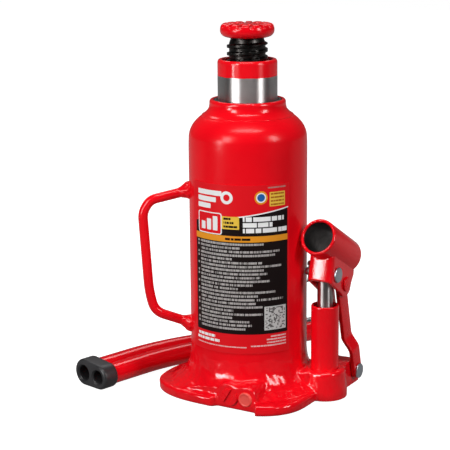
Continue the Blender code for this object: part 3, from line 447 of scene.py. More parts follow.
# Machined from above: the pump's hole, the reservoir's floor and the ram's seat.
ABOVE = 45.0
for place_x, place_y, radius, low_z in (
        (PUMP_X, PUMP_Y, 9.9, 12.2), (0.0, 0.0, 38.0, 26.0), (0.0, 0.0, 25.0, 13.4)):
    hole = turned(np.array([(0.0, low_z), (radius, low_z), (radius, ABOVE), (0.0, ABOVE)]), 72)
    bore(casting, mesh_from("hole", stand(hole, (place_x, place_y, 0.0))))
casting.data.shade_smooth()
casting.data.set_sharp_from_angle(angle=math.radians(60.0))
fit(casting, enamel("cast_iron_red_paint", 210.0, 0.3, 0.06, 0.08, 0.2, 0.55), "frame", "base")


# ---- Reservoir --------------------------------------------------------------
# Drawn steel tube, 2.6 mm wall, its shoulder spun in to meet the neck. The
# foot is welded to the collar of the casting; the paint runs over both.
TANK_R, TANK_BORE = 41.0, 38.4
TANK_FOOT = 29.0
reservoir = turned_piece("reservoir_shell", [
    (TANK_R, TANK_FOOT, 0.0), (TANK_R, 177.0, 10.0), (40.6, 185.0, 6.0), (38.0, 190.6, 6.0),
    (33.5, 195.2, 6.0), (28.8, 198.2, 3.0), (27.0, 199.6, 1.0), (27.0, 197.6, 0.0), (36.0, 189.0, 6.0),
    (TANK_BORE, 180.0, 6.0), (TANK_BORE, TANK_FOOT, 0.0)], 160, hollow=True, steps=8)
fit(reservoir, enamel("rolled_steel_red_paint", 35.0, 0.1, 0.03, 0.2, 0.26, 0.22), "frame", "reservoir")

neck = turned_piece("neck_nut", [
    (20.9, 190.0, 0.0), (30.0, 190.0, 0.0), (31.7, 196.9, 0.3), (29.3, 198.4, 1.6), (27.0, 200.8, 2.0),
    (26.3, 203.8, 1.5), (26.3, 206.2, 1.4), (25.5, 207.6, 0.9), (23.5, 207.6, 0.6), (23.3, 204.4, 0.0),
    (20.9, 204.4, 0.0)], 128, hollow=True)
fit(neck, enamel("neck_red_paint", 60.0, 0.1, 0.04, 0.12, 0.2, 0.4), "frame", "top_nut")


# ---- Ram --------------------------------------------------------------------
# Ground steel tube. The jack was painted with the ram down, so only the top
# band is red; the rest shows fine circumferential grinding marks.
def metal(name, colour, smooth, rough, stretch=(40.0, 40.0, 2600.0), depth=0.03, brushed=0.0):
    """Bare metal: noise stretched along the tool's path marks gloss and relief; brushed draws highlights out."""
    made, tree, shader = new_finish(name)
    place = node(tree, "ShaderNodeTexCoord").outputs["Object"]
    along = node(tree, "ShaderNodeMapping", {"Vector": place, "Scale": stretch})
    marks = node(tree, "ShaderNodeTexNoise", {"Vector": along.outputs[0], "Scale": 1.0, "Detail": 3.0})
    cloud = node(tree, "ShaderNodeTexNoise", {"Vector": place, "Scale": 120.0, "Detail": 2.0})
    dull = tuple(0.72 * c for c in colour) + (1.0,)
    tree.links.new(over(tree, dull, cloud.outputs[0], (*colour, 1.0)), shader.inputs["Base Color"])
    tree.links.new(remap(tree, marks.outputs[0], smooth, rough), shader.inputs["Roughness"])
    raise_by(tree, shader, marks.outputs[0], 1.0, depth * MM)
    shader.inputs["Metallic"].default_value = 1.0
    shader.inputs["Anisotropic"].default_value = brushed
    shader.inputs["Anisotropic Rotation"].default_value = 0.25
    return made


BAND_FROM, BAND_RAGGED = 0.2235, 0.0006
ram_finish = metal("ground_steel_with_red_band", (0.74, 0.72, 0.71), 0.36, 0.44, brushed=0.9)
tree = ram_finish.node_tree
shader = tree.nodes["Principled BSDF"]
place = node(tree, "ShaderNodeTexCoord").outputs["Object"]
parts = node(tree, "ShaderNodeSeparateXYZ", [place])
ragged = node(tree, "ShaderNodeTexNoise", {"Vector": place, "Scale": 260.0, "Detail": 2.0})
edge_height = maths(tree, "MULTIPLY_ADD", ragged.outputs[0], BAND_RAGGED, BAND_FROM)
painted = maths(tree, "GREATER_THAN", parts.outputs[2], edge_height)
steel_colour = shader.inputs["Base Color"].links[0].from_socket
tree.links.new(over(tree, steel_colour, painted, RED_LIGHT), shader.inputs["Base Color"])
tree.links.new(maths(tree, "SUBTRACT", 1.0, painted), shader.inputs["Metallic"])
for key, painted_value in (("Roughness", 0.22), ("Height", 0.5)):
    holder = shader if key == "Roughness" else shader.inputs["Normal"].links[0].from_node
    bare_value = holder.inputs[key].links[0].from_socket
    switch = node(tree, "ShaderNodeMix", {0: painted, 2: bare_value, 3: painted_value})
    tree.links.new(switch.outputs[0], holder.inputs[key])
ram = turned_piece("ram_tube", [
    (0.0, 30.5, 0.0), (22.4, 30.5, 0.8), (22.4, 50.0, 0.8), (20.5, 50.6, 0.0), (20.5, 233.4, 1.2),
    (19.6, 234.9, 0.8), (17.4, 234.9, 0.6), (17.1, 233.0, 0.0), (17.1, 224.0, 0.0), (14.5, 222.6, 0.0),
    (14.5, 191.0, 0.0), (0.0, 191.0, 0.0)], 128)
fit(ram, ram_finish, "ram", "ram")


# ---- Extension screw and saddle ---------------------------------------------
# Rolled screw, blackened and oiled, with the cast saddle peened onto its neck.
# The thread is one continuous ridge with flat crest and flat root.

# Radius = root + height of the ridge, whose place in the turn is z / pitch - angle / turn.
PITCH, START = 5.1, 0.345
ROOT_R, THREAD_TALL = 12.4, 1.6
CREST_HALF, FLANK_WIDE = 0.17, 0.13
screw_z = np.linspace(125.0, 247.0, 490)[:, None]
angle = np.linspace(0.0, 2.0 * np.pi, 96, endpoint=False)[None, :]
turn_part = np.mod(screw_z / PITCH - angle / (2.0 * np.pi) + START, 1.0)
flank = np.clip((np.abs(turn_part - 0.5) - CREST_HALF) / FLANK_WIDE, 0.0, 1.0)
ridge = 1.0 - flank * flank * (3.0 - 2.0 * flank)
radius = ROOT_R + THREAD_TALL * ridge
runout = np.clip((screw_z - 245.6) / 1.2, 0.0, 1.0)
radius = radius * (1 - runout) + np.minimum(radius, 12.0) * runout
threads = np.stack([radius * np.cos(angle), radius * np.sin(angle), np.repeat(screw_z, 96, axis=1)], axis=-1)
foot = turned(soften([(0.0, 119.0, 0.0), (11.8, 119.0, 0.6), (11.8, 124.0, 0.0)]))
head = turned(soften([
    (11.4, 248.0, 0.5), (11.4, 249.0, 0.3), (8.7, 249.1, 0.0), (8.7, 254.0, 0.0), (0.0, 254.0, 0.0)]))
screw = make("screw_thread", mesh_from("screw_thread", np.concatenate([foot, threads, head])))
fit(screw, metal("oiled_black_steel", (0.045, 0.042, 0.04), 0.2, 0.42, (300.0, 300.0, 300.0), 0.05),
    "screw", "extension_screw")

TEETH, TOOTH_DEEP = 14, 1.6
saddle_profile = soften([
    (8.95, 255.3, 0.0), (8.95, 249.4, 0.3), (13.0, 249.4, 1.0), (16.6, 250.4, 1.6), (18.4, 252.6, 1.6),
    (18.6, 255.4, 1.6), (17.8, 258.0, 1.4), (16.2, 259.0, 0.8), (9.2, 259.0, 0.6), (8.2, 258.2, 0.5),
    (7.0, 258.2, 0.3), (6.4, 259.0, 0.5), (0.0, 259.0, 0.0)], steps=10)
saddle = turned(np.concatenate([[[0.0, 255.3]], saddle_profile]), 336)
spread = np.hypot(saddle[:, :, 0], saddle[:, :, 1])
tooth_angle = np.arctan2(saddle[:, :, 1], saddle[:, :, 0]) * TEETH / (2.0 * np.pi)
groove = np.abs(np.mod(tooth_angle, 1.0) - 0.5)
groove = np.clip((groove - 0.27) / 0.12, 0.0, 1.0)
groove = groove * groove * (3.0 - 2.0 * groove)
upper = np.clip((saddle[:, :, 2] - 256.0) / 2.2, 0.0, 1.0) * np.clip((spread - 8.8) / 1.0, 0.0, 1.0)
saddle[:, :, 2] -= groove * upper * TOOTH_DEEP
saddle[:, :, :2] *= 1.0 - (groove * upper * 0.03)[:, :, None]
saddle = make("saddle_head", mesh_from("saddle_head", saddle), 60.0)
fit(saddle, enamel("saddle_red_paint", 120.0, 0.12, 0.04, 0.1, 0.18), "screw", "saddle")


# ---- Sticker ----------------------------------------------------------------
# Printed vinyl, 76 mm by 117 mm, wrapped on the front of the reservoir. The
# print is generic: plain blocks and broken bars where a maker has its words.
LABEL_R = 41.5
LABEL_FROM, LABEL_TO = math.radians(-123.0), math.radians(-18.2)
LABEL_LOW, LABEL_HIGH = 37.5, 155.0
LABEL_WIDE = (LABEL_TO - LABEL_FROM) * LABEL_R
LABEL_TALL = LABEL_HIGH - LABEL_LOW


def curved_sheet(columns=81, rows=60):
    """Both faces of the sheet: (r cos a, r sin a, z), a along the columns, z up the rows, r thinner inside."""
    a = np.linspace(LABEL_FROM, LABEL_TO, columns)
    z = np.linspace(LABEL_LOW, LABEL_HIGH, rows)
    angle, height = np.meshgrid(a, z)
    outer = np.stack([LABEL_R * np.cos(angle), LABEL_R * np.sin(angle), height], axis=-1)
    inner = outer * np.array([0.9945, 0.9945, 1.0])
    return np.concatenate([outer, inner[:, ::-1]], axis=1)


sheet = make("sticker", mesh_from("sticker", curved_sheet()))
uv = sheet.data.uv_layers.new(name="UVMap")
loops = np.empty(len(sheet.data.loops), dtype=np.int32)
sheet.data.loops.foreach_get("vertex_index", loops)
spots = np.empty(len(sheet.data.vertices) * 3)
sheet.data.vertices.foreach_get("co", spots)
spots = spots.reshape(-1, 3)[loops]
across = (np.arctan2(spots[:, 1], spots[:, 0]) - LABEL_FROM) / (LABEL_TO - LABEL_FROM)
upward = (spots[:, 2] / MM - LABEL_LOW) / LABEL_TALL
uv.data.foreach_set("uv", np.stack([across, upward], axis=-1).ravel())

block, block_in, block_out = group("rounded_block", [
    ("Across", "NodeSocketFloat", 0.0), ("Up", "NodeSocketFloat", 0.0),
    ("Middle Across", "NodeSocketFloat", 0.0), ("Middle Up", "NodeSocketFloat", 0.0),
    ("Half Width", "NodeSocketFloat", 5.0), ("Half Height", "NodeSocketFloat", 5.0),
    ("Corner", "NodeSocketFloat", 0.5),
], [("Mask", "NodeSocketFloat")])
reach = []
for axis, middle, half in (("Across", "Middle Across", "Half Width"), ("Up", "Middle Up", "Half Height")):
    offset = maths(block, "SUBTRACT", block_in.outputs[axis], block_in.outputs[middle])
    straight = maths(block, "SUBTRACT", block_in.outputs[half], block_in.outputs["Corner"])
    past = maths(block, "SUBTRACT", maths(block, "ABSOLUTE", offset), straight)
    past = maths(block, "MAXIMUM", past, 0.0)
    reach.append(maths(block, "MULTIPLY", past, past))
far = maths(block, "SQRT", maths(block, "ADD", reach[0], reach[1]))
block.links.new(maths(block, "LESS_THAN", far, block_in.outputs["Corner"]), block_out.inputs["Mask"])

print_finish, tree, shader = new_finish("printed_vinyl")
uv_place = node(tree, "ShaderNodeSeparateXYZ", [node(tree, "ShaderNodeTexCoord").outputs["UV"]])
label_x = maths(tree, "MULTIPLY_ADD", uv_place.outputs[0], LABEL_WIDE, -LABEL_WIDE / 2)
label_z = maths(tree, "MULTIPLY_ADD", uv_place.outputs[1], LABEL_TALL, LABEL_LOW)


def mask(middle_x, middle_z, half_x, half_z, corner):
    """One inside a rounded block, in millimetres from the sticker's middle line and from the ground."""
    made = node(tree, "ShaderNodeGroup", node_tree=block)
    tree.links.new(label_x, made.inputs["Across"])
    tree.links.new(label_z, made.inputs["Up"])
    for label, value in (("Middle Across", middle_x), ("Middle Up", middle_z), ("Half Width", half_x),
                         ("Half Height", half_z), ("Corner", corner)):
        made.inputs[label].default_value = value
    return made.outputs[0]


def words(middle_x, middle_z, half_x, half_z, pitch, seed, gaps=0.36):
    """A line of print: a block broken by noise into groups and strokes."""
    stroke = node(tree, "ShaderNodeTexNoise", {"Scale": 1.0, "Detail": 0.0}, noise_dimensions="2D")
    run = node(tree, "ShaderNodeCombineXYZ", [maths(tree, "MULTIPLY", label_x, pitch), seed])
    tree.links.new(run.outputs[0], stroke.inputs["Vector"])
    solid = maths(tree, "GREATER_THAN", stroke.outputs[0], gaps)
    return maths(tree, "MULTIPLY", mask(middle_x, middle_z, half_x, half_z, 0.2), solid)


def printed(factor, ink):
    """Print an ink over what is there so far."""
    global colour
    colour = over(tree, colour, factor, ink)


INK_RED = (0.74, 0.008, 0.014, 1.0)
INK_BLACK = (0.009, 0.005, 0.005, 1.0)
INK_WHITE = (0.84, 0.84, 0.84, 1.0)
INK_YELLOW = (0.80, 0.52, 0.06, 1.0)
INK_ORANGE = (0.78, 0.30, 0.02, 1.0)
INK_GREY = (0.44, 0.41, 0.40, 1.0)
INK_BLUE = (0.02, 0.11, 0.38, 1.0)
INK_BROWN = (0.40, 0.10, 0.01, 1.0)
INK_MAROON = (0.45, 0.20, 0.18, 1.0)
INK_PINK = (0.78, 0.50, 0.50, 1.0)
INK_DULL_PINK = (0.75, 0.45, 0.45, 1.0)
PATCH_LIGHT, PATCH_DARK = (0.55, 0.54, 0.53, 1.0), (0.13, 0.12, 0.12, 1.0)

# Black panel with a slanting top edge and a white rim along it.
slant = maths(tree, "MULTIPLY_ADD", label_x, 0.148, 133.2)
below_slant = maths(tree, "LESS_THAN", label_z, slant)
panel = maths(tree, "MULTIPLY", mask(0.9, 96.0, 35.4, 44.6, 0.5), below_slant)
colour = over(tree, INK_RED, panel, INK_BLACK)
rim = maths(tree, "LESS_THAN", maths(tree, "ABSOLUTE", maths(tree, "SUBTRACT", label_z, slant)), 0.42)
rim = maths(tree, "MULTIPLY", rim, mask(12.7, 135.0, 24.3, 9.0, 0.2))
printed(rim, INK_WHITE)

# Framed square with three rising bars, a small yellow notice, three heading lines, an orange band.
printed(mask(-21.2, 128.0, 10.4, 7.5, 1.8), INK_WHITE)
printed(mask(-21.2, 128.0, 9.6, 6.8, 1.4), INK_RED)
for k in range(3):
    tall = 2.7 + 1.1 * k
    printed(mask(-26.4 + 5.2 * k, 123.2 + tall, 1.9, tall, 0.4), INK_WHITE)
printed(mask(-4.7, 129.2, 6.2, 4.4, 0.6), INK_YELLOW)
for k, half in enumerate((2.6, 3.6, 5.0)):
    printed(words(-9.6 + half, 132.0 - 2.7 * k, half, 0.75, 1.4, 3.0 + k), INK_BLACK)
for k, (half, seed) in enumerate(((14.6, 11.0), (10.2, 17.0), (15.8, 23.0))):
    printed(words(4.0 + half, 131.9 - 3.9 * k, half, 1.55, 0.62, seed, 0.34), INK_WHITE)
printed(mask(0.9, 118.2, 35.4, 2.1, 0.2), INK_ORANGE)
printed(words(0.0, 118.1, 9.0, 0.8, 1.2, 31.0), INK_BLACK)

# Small print: rows of uneven length, each with a mark before it or not.
ROW, ROWS_TOP = 2.58, 115.8
row_place = maths(tree, "DIVIDE", maths(tree, "SUBTRACT", ROWS_TOP, label_z), ROW)
row_number = maths(tree, "FLOOR", row_place)
row_part = maths(tree, "FRACT", row_place)
in_row = maths(tree, "LESS_THAN", maths(tree, "ABSOLUTE", maths(tree, "SUBTRACT", row_part, 0.5)), 0.29)
chance = node(tree, "ShaderNodeTexWhiteNoise", noise_dimensions="1D")
tree.links.new(row_number, chance.inputs["W"])
row_end = maths(tree, "MULTIPLY_ADD", chance.outputs[0], 38.0, -4.0)
within = maths(tree, "LESS_THAN", label_x, row_end)
letters = node(tree, "ShaderNodeTexNoise", {"Scale": 1.0, "Detail": 1.0}, noise_dimensions="2D")
letter_place = node(tree, "ShaderNodeCombineXYZ", [
    maths(tree, "MULTIPLY", label_x, 2.3), maths(tree, "MULTIPLY", row_number, 5.7)])
tree.links.new(letter_place.outputs[0], letters.inputs["Vector"])
inked = maths(tree, "GREATER_THAN", letters.outputs[0], 0.42)
rows = maths(tree, "MULTIPLY", maths(tree, "MULTIPLY", in_row, within), inked)
rows = maths(tree, "MULTIPLY", rows, mask(1.5, 85.0, 31.0, 31.0, 0.2))
printed(rows, INK_GREY)
marked = maths(tree, "SINE", maths(tree, "MULTIPLY", row_number, 2.4))
marked = maths(tree, "MULTIPLY", in_row, maths(tree, "GREATER_THAN", marked, -0.35))
printed(maths(tree, "MULTIPLY", marked, mask(-31.8, 85.0, 0.7, 31.0, 0.2)), INK_GREY)

# Plain test patch in the lower right corner: random grey cells.
CELL = 0.9
cell_x = maths(tree, "FLOOR", maths(tree, "DIVIDE", label_x, CELL))
cell_z = maths(tree, "FLOOR", maths(tree, "DIVIDE", label_z, CELL))
cells = node(tree, "ShaderNodeTexWhiteNoise", noise_dimensions="2D")
tree.links.new(node(tree, "ShaderNodeCombineXYZ", [cell_x, cell_z]).outputs[0], cells.inputs["Vector"])
printed(mask(26.6, 62.4, 9.4, 9.6, 0.3), INK_BLACK)
printed(mask(26.6, 62.4, 8.2, 8.4, 0.3), PATCH_LIGHT)
dark_cell = maths(tree, "GREATER_THAN", cells.outputs[0], 0.6)
dark_cell = maths(tree, "MULTIPLY", dark_cell, mask(26.6, 62.4, 7.4, 7.6, 0.1))
printed(dark_cell, PATCH_DARK)

# Upper field: three bars and a ring, a round badge and a small notice; foot: two short lines each side.
for k in range(3):
    half = 10.4 - 2.2 * k
    printed(mask(-31.6 + half, 148.9 - 4.6 * k, half, 1.7, 0.6), INK_WHITE)
printed(mask(-7.2, 146.4, 4.4, 4.4, 4.39), INK_WHITE)
printed(mask(-7.2, 146.4, 2.3, 2.3, 2.29), INK_RED)
printed(mask(16.4, 146.6, 4.5, 4.5, 4.49), INK_ORANGE)
printed(mask(16.4, 146.6, 3.4, 3.4, 3.39), INK_WHITE)
printed(mask(16.4, 146.6, 2.6, 2.6, 2.59), INK_BLUE)
printed(mask(28.2, 145.2, 5.9, 4.9, 0.4), INK_YELLOW)
for k in range(4):
    printed(words(28.2, 148.8 - 2.4 * k, 5.0, 0.55, 2.0, 41.0 + k), INK_BROWN)
printed(words(28.0, 153.2, 7.0, 0.5, 2.0, 47.0), INK_MAROON)
printed(words(-25.4, 48.6, 8.4, 0.95, 1.0, 53.0), INK_WHITE)
printed(words(-23.8, 45.6, 10.4, 0.95, 1.0, 59.0), INK_WHITE)
printed(words(-14.0, 42.2, 20.0, 0.4, 2.0, 61.0), INK_DULL_PINK)
for k, half in enumerate((6.0, 7.5, 7.5, 13.0)):
    printed(words(35.0 - half, 49.4 - 2.1 * k, half, 0.5, 1.9, 67.0 + k), INK_PINK)
tree.links.new(colour, shader.inputs["Base Color"])
wrinkle = node(tree, "ShaderNodeTexNoise", {
    "Vector": node(tree, "ShaderNodeTexCoord").outputs["Object"], "Scale": 70.0, "Detail": 3.0})
tree.links.new(remap(tree, wrinkle.outputs[0], 0.3, 0.42), shader.inputs["Roughness"])
raise_by(tree, shader, wrinkle.outputs[0], 0.4, 0.2 * MM)
shader.inputs["Specular IOR Level"].default_value = 0.12
fit(sheet, print_finish, "frame", "label")


# ---- Carry handle -----------------------------------------------------------
# One bent 6.6 mm rod, welded to the reservoir at both ends. The beads are
# uneven rings of weld, painted with the rest.
def route(corners, radius, steps=8):
    """3-D path with each inner corner replaced by a smooth curve of that reach."""
    points = [np.array(c, dtype=float) for c in corners]
    out = [points[0][None, :]]
    t = np.linspace(0.0, 1.0, steps + 1)[:, None]
    for before, here, after in zip(points, points[1:], points[2:]):
        reach = min(radius, 0.45 * np.linalg.norm(before - here), 0.45 * np.linalg.norm(after - here))
        first = here + (before - here) / np.linalg.norm(before - here) * reach
        last = here + (after - here) / np.linalg.norm(after - here) * reach
        out.append(first * (1 - t) ** 2 + here * 2 * t * (1 - t) + last * t ** 2)
    out.append(points[-1][None, :])
    return np.concatenate(out)


def swept(path, radius, normal, columns=32):
    """Round section carried along a flat path; the section lies across the tangent, in normal and side."""
    tangent = np.gradient(path, axis=0)
    tangent /= np.linalg.norm(tangent, axis=1)[:, None]
    across = np.array(normal, dtype=float)
    beside = np.cross(tangent, across)
    a = np.linspace(0.0, 2.0 * np.pi, columns, endpoint=False)[None, :, None]
    size = np.broadcast_to(np.asarray(radius, dtype=float), (len(path),))[:, None, None]
    return path[:, None, :] + size * (across * np.cos(a) + beside[:, None, :] * np.sin(a))


CARRY_AZIMUTH = math.radians(216.0)
outward = np.array([math.cos(CARRY_AZIMUTH), math.sin(CARRY_AZIMUTH), 0.0])
carry_corners = [
    outward * r + np.array([0.0, 0.0, z])
    for r, z in ((40.2, 144.8), (68.4, 138.4), (73.6, 129.6), (70.2, 73.6), (66.5, 58.2), (40.2, 48.7))
]
rod_normal = (-math.sin(CARRY_AZIMUTH), math.cos(CARRY_AZIMUTH), 0.0)
rod = make("carry_rod", mesh_from("carry_rod", swept(route(carry_corners, 11.0, 10), 3.4, rod_normal)))
fit(rod, enamel("carry_rod_red_paint", 60.0, 0.08, 0.03, 0.12, 0.2), "frame", "carry_handle")


def weld_bead(name, solid, end, toward):
    """Flare from the rod to the tank: radius falls from 6.2 to 3.3 mm, with a ripple of 3.5 % round it."""
    run = (toward - end) / np.linalg.norm(toward - end)
    profile = soften([(0.0, -2.0, 0.0), (6.2, -2.0, 0.0), (6.2, 0.6, 1.2), (5.0, 2.6, 1.5), (4.1, 4.4, 1.5),
                      (3.3, 7.0, 0.5), (0.0, 7.0, 0.0)])
    shape = turned(profile, 72)
    a = np.arctan2(shape[:, :, 1], shape[:, :, 0])
    ripple = 1.0 + 0.035 * np.sin(9.0 * a + 1.7 * np.sin(shape[:, :, 2]))
    shape[:, :, :2] *= ripple[:, :, None]
    made = make(name, mesh_from(name, stand(shape, end + run * 1.2, run)))
    fit(made, enamel(name + "_red_paint", 260.0, 0.3, 0.06, 0.12, 0.22), "frame", solid)


weld_bead("upper_weld_bead", "carry_weld_top", carry_corners[0], carry_corners[1])
weld_bead("lower_weld_bead", "carry_weld_bottom", carry_corners[-1], carry_corners[-2])


# ---- Pump -------------------------------------------------------------------
# Turned steel barrel screwed into its boss, painted outside; the bare ground
# piston runs in it, with a drilled eye for the pin at its top.
barrel = turned_piece("pump_barrel", [
    (5.85, 12.5, 0.0), (9.7, 12.5, 0.0), (9.7, 65.6, 0.9), (9.2, 66.4, 0.5), (8.5, 66.4, 0.4),
    (8.1, 65.6, 0.2), (8.1, 59.8, 0.0), (5.85, 59.8, 0.0)], 96, (PUMP_X, PUMP_Y, 0.0), hollow=True)
fit(barrel, enamel("pump_barrel_red_paint", 30.0, 0.1, 0.04, 0.18, 0.26), "frame", "pump_cylinder")

plunger = turned_piece("pump_plunger", [
    (0.0, 26.5, 0.0), (5.0, 26.5, 0.4), (5.5, 27.0, 0.2), (5.5, 89.0, 3.0), (5.0, 92.6, 2.0),
    (3.0, 94.0, 1.0), (0.0, 94.1, 0.0)], 64, (PUMP_X, PUMP_Y, 0.0))
plunger_steel = metal("ground_plunger_steel", (0.6, 0.58, 0.57), 0.34, 0.42, brushed=0.9)
fit(plunger, plunger_steel, "piston", "pump_piston")


# ---- Handle socket and its bracket ------------------------------------------
# A short tube welded across the top of a folded sheet bracket. The bracket's
# two cheeks straddle the piston and carry the piston pin and the link pin.
TILT = math.radians(29.0)
inward = (0.0, math.cos(TILT), -math.sin(TILT))
socket_mouth = (PUMP_X, -2.3, 117.2)
SOCKET_R, SOCKET_BORE, SOCKET_LONG = 12.9, 10.5, 48.0
sleeve = turned_piece("socket_sleeve", [
    (SOCKET_BORE, 1.2, 0.8), (11.3, 0.0, 0.5), (12.0, 0.0, 0.5), (SOCKET_R, 0.9, 0.6), (SOCKET_R, 47.2, 0.6),
    (12.2, SOCKET_LONG, 0.4), (SOCKET_BORE, SOCKET_LONG, 0.4)], 112, socket_mouth, inward, hollow=True)
fit(sleeve, enamel("socket_red_paint", 90.0, 0.16, 0.06, 0.12, 0.2, 0.35), "socket", "socket_tube")
# The bore is bare steel, coloured near black as painted shade inside the tube.
shaded_bare_inside = metal("bare_tube_painted_shade", (0.12, 0.105, 0.10), 0.3, 0.5, (260.0, 260.0, 260.0), 0.1)
sleeve.data.materials.append(shaded_bare_inside)
middles = np.empty(len(sleeve.data.polygons) * 3)
sleeve.data.polygons.foreach_get("center", middles)
from_mouth = middles.reshape(-1, 3) / MM - np.array(socket_mouth)
from_axis = np.linalg.norm(from_mouth - (from_mouth @ np.array(inward))[:, None] * np.array(inward), axis=1)
sleeve.data.polygons.foreach_set("material_index", (from_axis < SOCKET_BORE + 0.1).astype(np.int32))

# Bracket axes: 'deep' runs back from the front web, 'tall' runs up along it.
tall = np.array([0.185, 0.983])
deep = np.array([0.983, -0.185])
web_foot = np.array([-1.0, 86.0])
LINK_PIN = (24.9, -2.9)
SHEET, HALF, BEND, WEB_SWELL = 2.4, 9.3, 4.2, 0.15
CHEEK_DEEP = 36.0
ROUND_FROM, ROUND_TO, ROUND_R = 20.2, 33.0, 8.4


def cheek_low(d):
    """Lower edge: straight from the web's foot, round the link pin, then up to the tube."""
    straight = -0.465 * d
    rounded = LINK_PIN[1] - np.sqrt(np.clip(ROUND_R ** 2 - (d - LINK_PIN[0]) ** 2, 0.0, None))
    rear = LINK_PIN[1] + 2.1 * (d - ROUND_TO)
    return np.where(d < ROUND_FROM, straight, np.where(d < ROUND_TO, np.maximum(rounded, -12.0), rear))


def cheek_high(d, x):
    """Upper edge: the tube's axis, which falls by 0.3316 with depth, less the round of its underside."""
    return 30.4 - 0.3316 * (d + 7.05) - np.sqrt(12.7 ** 2 - x ** 2) / 0.949


def channel(half, start, bend, last, count=26):
    """Half of a U in (x, depth): down one cheek, round the bend, to the middle of the web."""
    d = np.linspace(last, start + bend, count)
    a = np.linspace(0.0, np.pi / 2, 9)[1:]
    flat_x = np.linspace(half - bend, 0.0, 10)[1:]
    side_x = np.concatenate([np.full(count, half), half - bend + bend * np.cos(a), flat_x])
    swell = WEB_SWELL * (1.0 - (flat_x / (half - bend)) ** 2)
    side_d = np.concatenate([d, start + bend - bend * np.sin(a), start - swell])
    return side_x, side_d


levels = np.linspace(0.0, 1.0, 15)[None, :]
walls = []
for half, start, bend in ((HALF, 0.0, BEND), (HALF - SHEET, SHEET, BEND - SHEET)):
    x, d = channel(half, start, bend, CHEEK_DEEP)
    x = np.concatenate([x, -x[-2::-1]])[:, None]
    d = np.concatenate([d, d[-2::-1]])[:, None]
    low, high = cheek_low(d), cheek_high(d, x)
    h = low + (high - low) * levels
    y = web_foot[0] + d * deep[0] + h * tall[0]
    z = web_foot[1] + d * deep[1] + h * tall[1]
    walls.append(np.stack([np.broadcast_to(x, h.shape) + PUMP_X, y, z], axis=-1))
walls = np.concatenate([walls[0], walls[1][:, ::-1]], axis=1)
bracket = make("bracket_sheet", mesh_from("bracket_sheet", walls), 50.0)
step = bracket.modifiers.new("soft_edges", "BEVEL")
step.width = 0.5 * MM
step.segments = 2
step.limit_method = "ANGLE"
step.angle_limit = math.radians(50.0)
bake(bracket)
bracket.data.shade_smooth()
bracket.data.set_sharp_from_angle(angle=math.radians(60.0))
fit(bracket, enamel("bracket_red_paint", 90.0, 0.16, 0.05, 0.08, 0.16, 0.6), "socket", "socket_bracket")


# ---- Pins -------------------------------------------------------------------
# Headed steel pins lie across the linkage. The outer two are zinc plated, the
# link pin was painted with the bracket; a split pin holds the piston pin.
def headed_pin(name, finish, body, solid, y, z, reach, shank, shoulder, head, far=0.0):
    """Turned along X: far end (a second head if far is given), shank, flat-backed head with a low dome."""
    profile = [(0.0, reach, 0.0), (shank, reach, 0.4)]
    if far > 0.0:
        profile = [(0.0, reach, 0.0), (far, reach, 0.6), (far, reach + 1.6, 0.2), (shank, reach + 1.6, 0.0)]
    dome = [(head, shoulder + 1.2, 0.8), (0.0, shoulder + 1.6, 0.0)]
    profile += [(shank, shoulder, 0.0), (head, shoulder, 0.3)] + dome
    fit(turned_piece(name, profile, 56, (PUMP_X, y, z), (1, 0, 0)), finish, body, solid)


PISTON_PIN_Z = 88.6
LINK_PIN_AT = (23.2, 78.8)
zinc = metal("zinc_plate", (0.62, 0.67, 0.72), 0.3, 0.48, (420.0, 420.0, 420.0), 0.03)
link_pin_paint = enamel("link_pin_red_paint", 150.0, 0.3, 0.08)
headed_pin("piston_pin_rivet", zinc, "socket", "piston_pin", PUMP_Y, PISTON_PIN_Z, -14.8, 2.75, 9.5, 5.3)
headed_pin("link_pin_rivet", link_pin_paint, "socket", "link_pin", *LINK_PIN_AT, -11.3, 2.75, 9.45, 5.1, 4.3)
headed_pin("base_pin_rivet", zinc, "frame", "base_pin", LINK_Y, LINK_Z, -13.5, 3.0, 11.8, 5.3, 4.7)
COTTER_X = PUMP_X - 12.6
legs = route([(COTTER_X, 7.4, 81.2), (COTTER_X, 9.3, 84.6), (COTTER_X, 9.5, 92.4), (COTTER_X, 11.4, 94.0),
              (COTTER_X, 9.6, 96.0), (COTTER_X, 8.0, 94.6), (COTTER_X, 8.4, 93.4)], 2.0, 5)
cotter = make("split_pin", mesh_from("split_pin", swept(legs, 0.66, (1.0, 0.0, 0.0), 16)))
fit(cotter, metal("split_pin_steel", (0.4, 0.4, 0.42), 0.3, 0.45), "socket", "piston_pin_cotter")


# ---- Link straps ------------------------------------------------------------
# Two flat bars from the lug on the casting up to the bracket, set outward by
# a joggle near the bottom so that they clear the lug.
strap_low = np.array([LINK_Y, LINK_Z])
strap_run = np.array(LINK_PIN_AT) - strap_low
STRAP_LENGTH = float(np.linalg.norm(strap_run))
strap_run /= STRAP_LENGTH
strap_across = np.array([strap_run[1], -strap_run[0]])
STRAP_LOW_R, STRAP_HIGH_R = 5.5, 6.1
STRAP_HALF_THICK, STRAP_EDGE = 1.5, 0.5
JOGGLE_FROM, JOGGLE_LONG = 16.5, 12.5
OUT_AT_LUG, OUT_AT_BRACKET = 10.1, 5.0


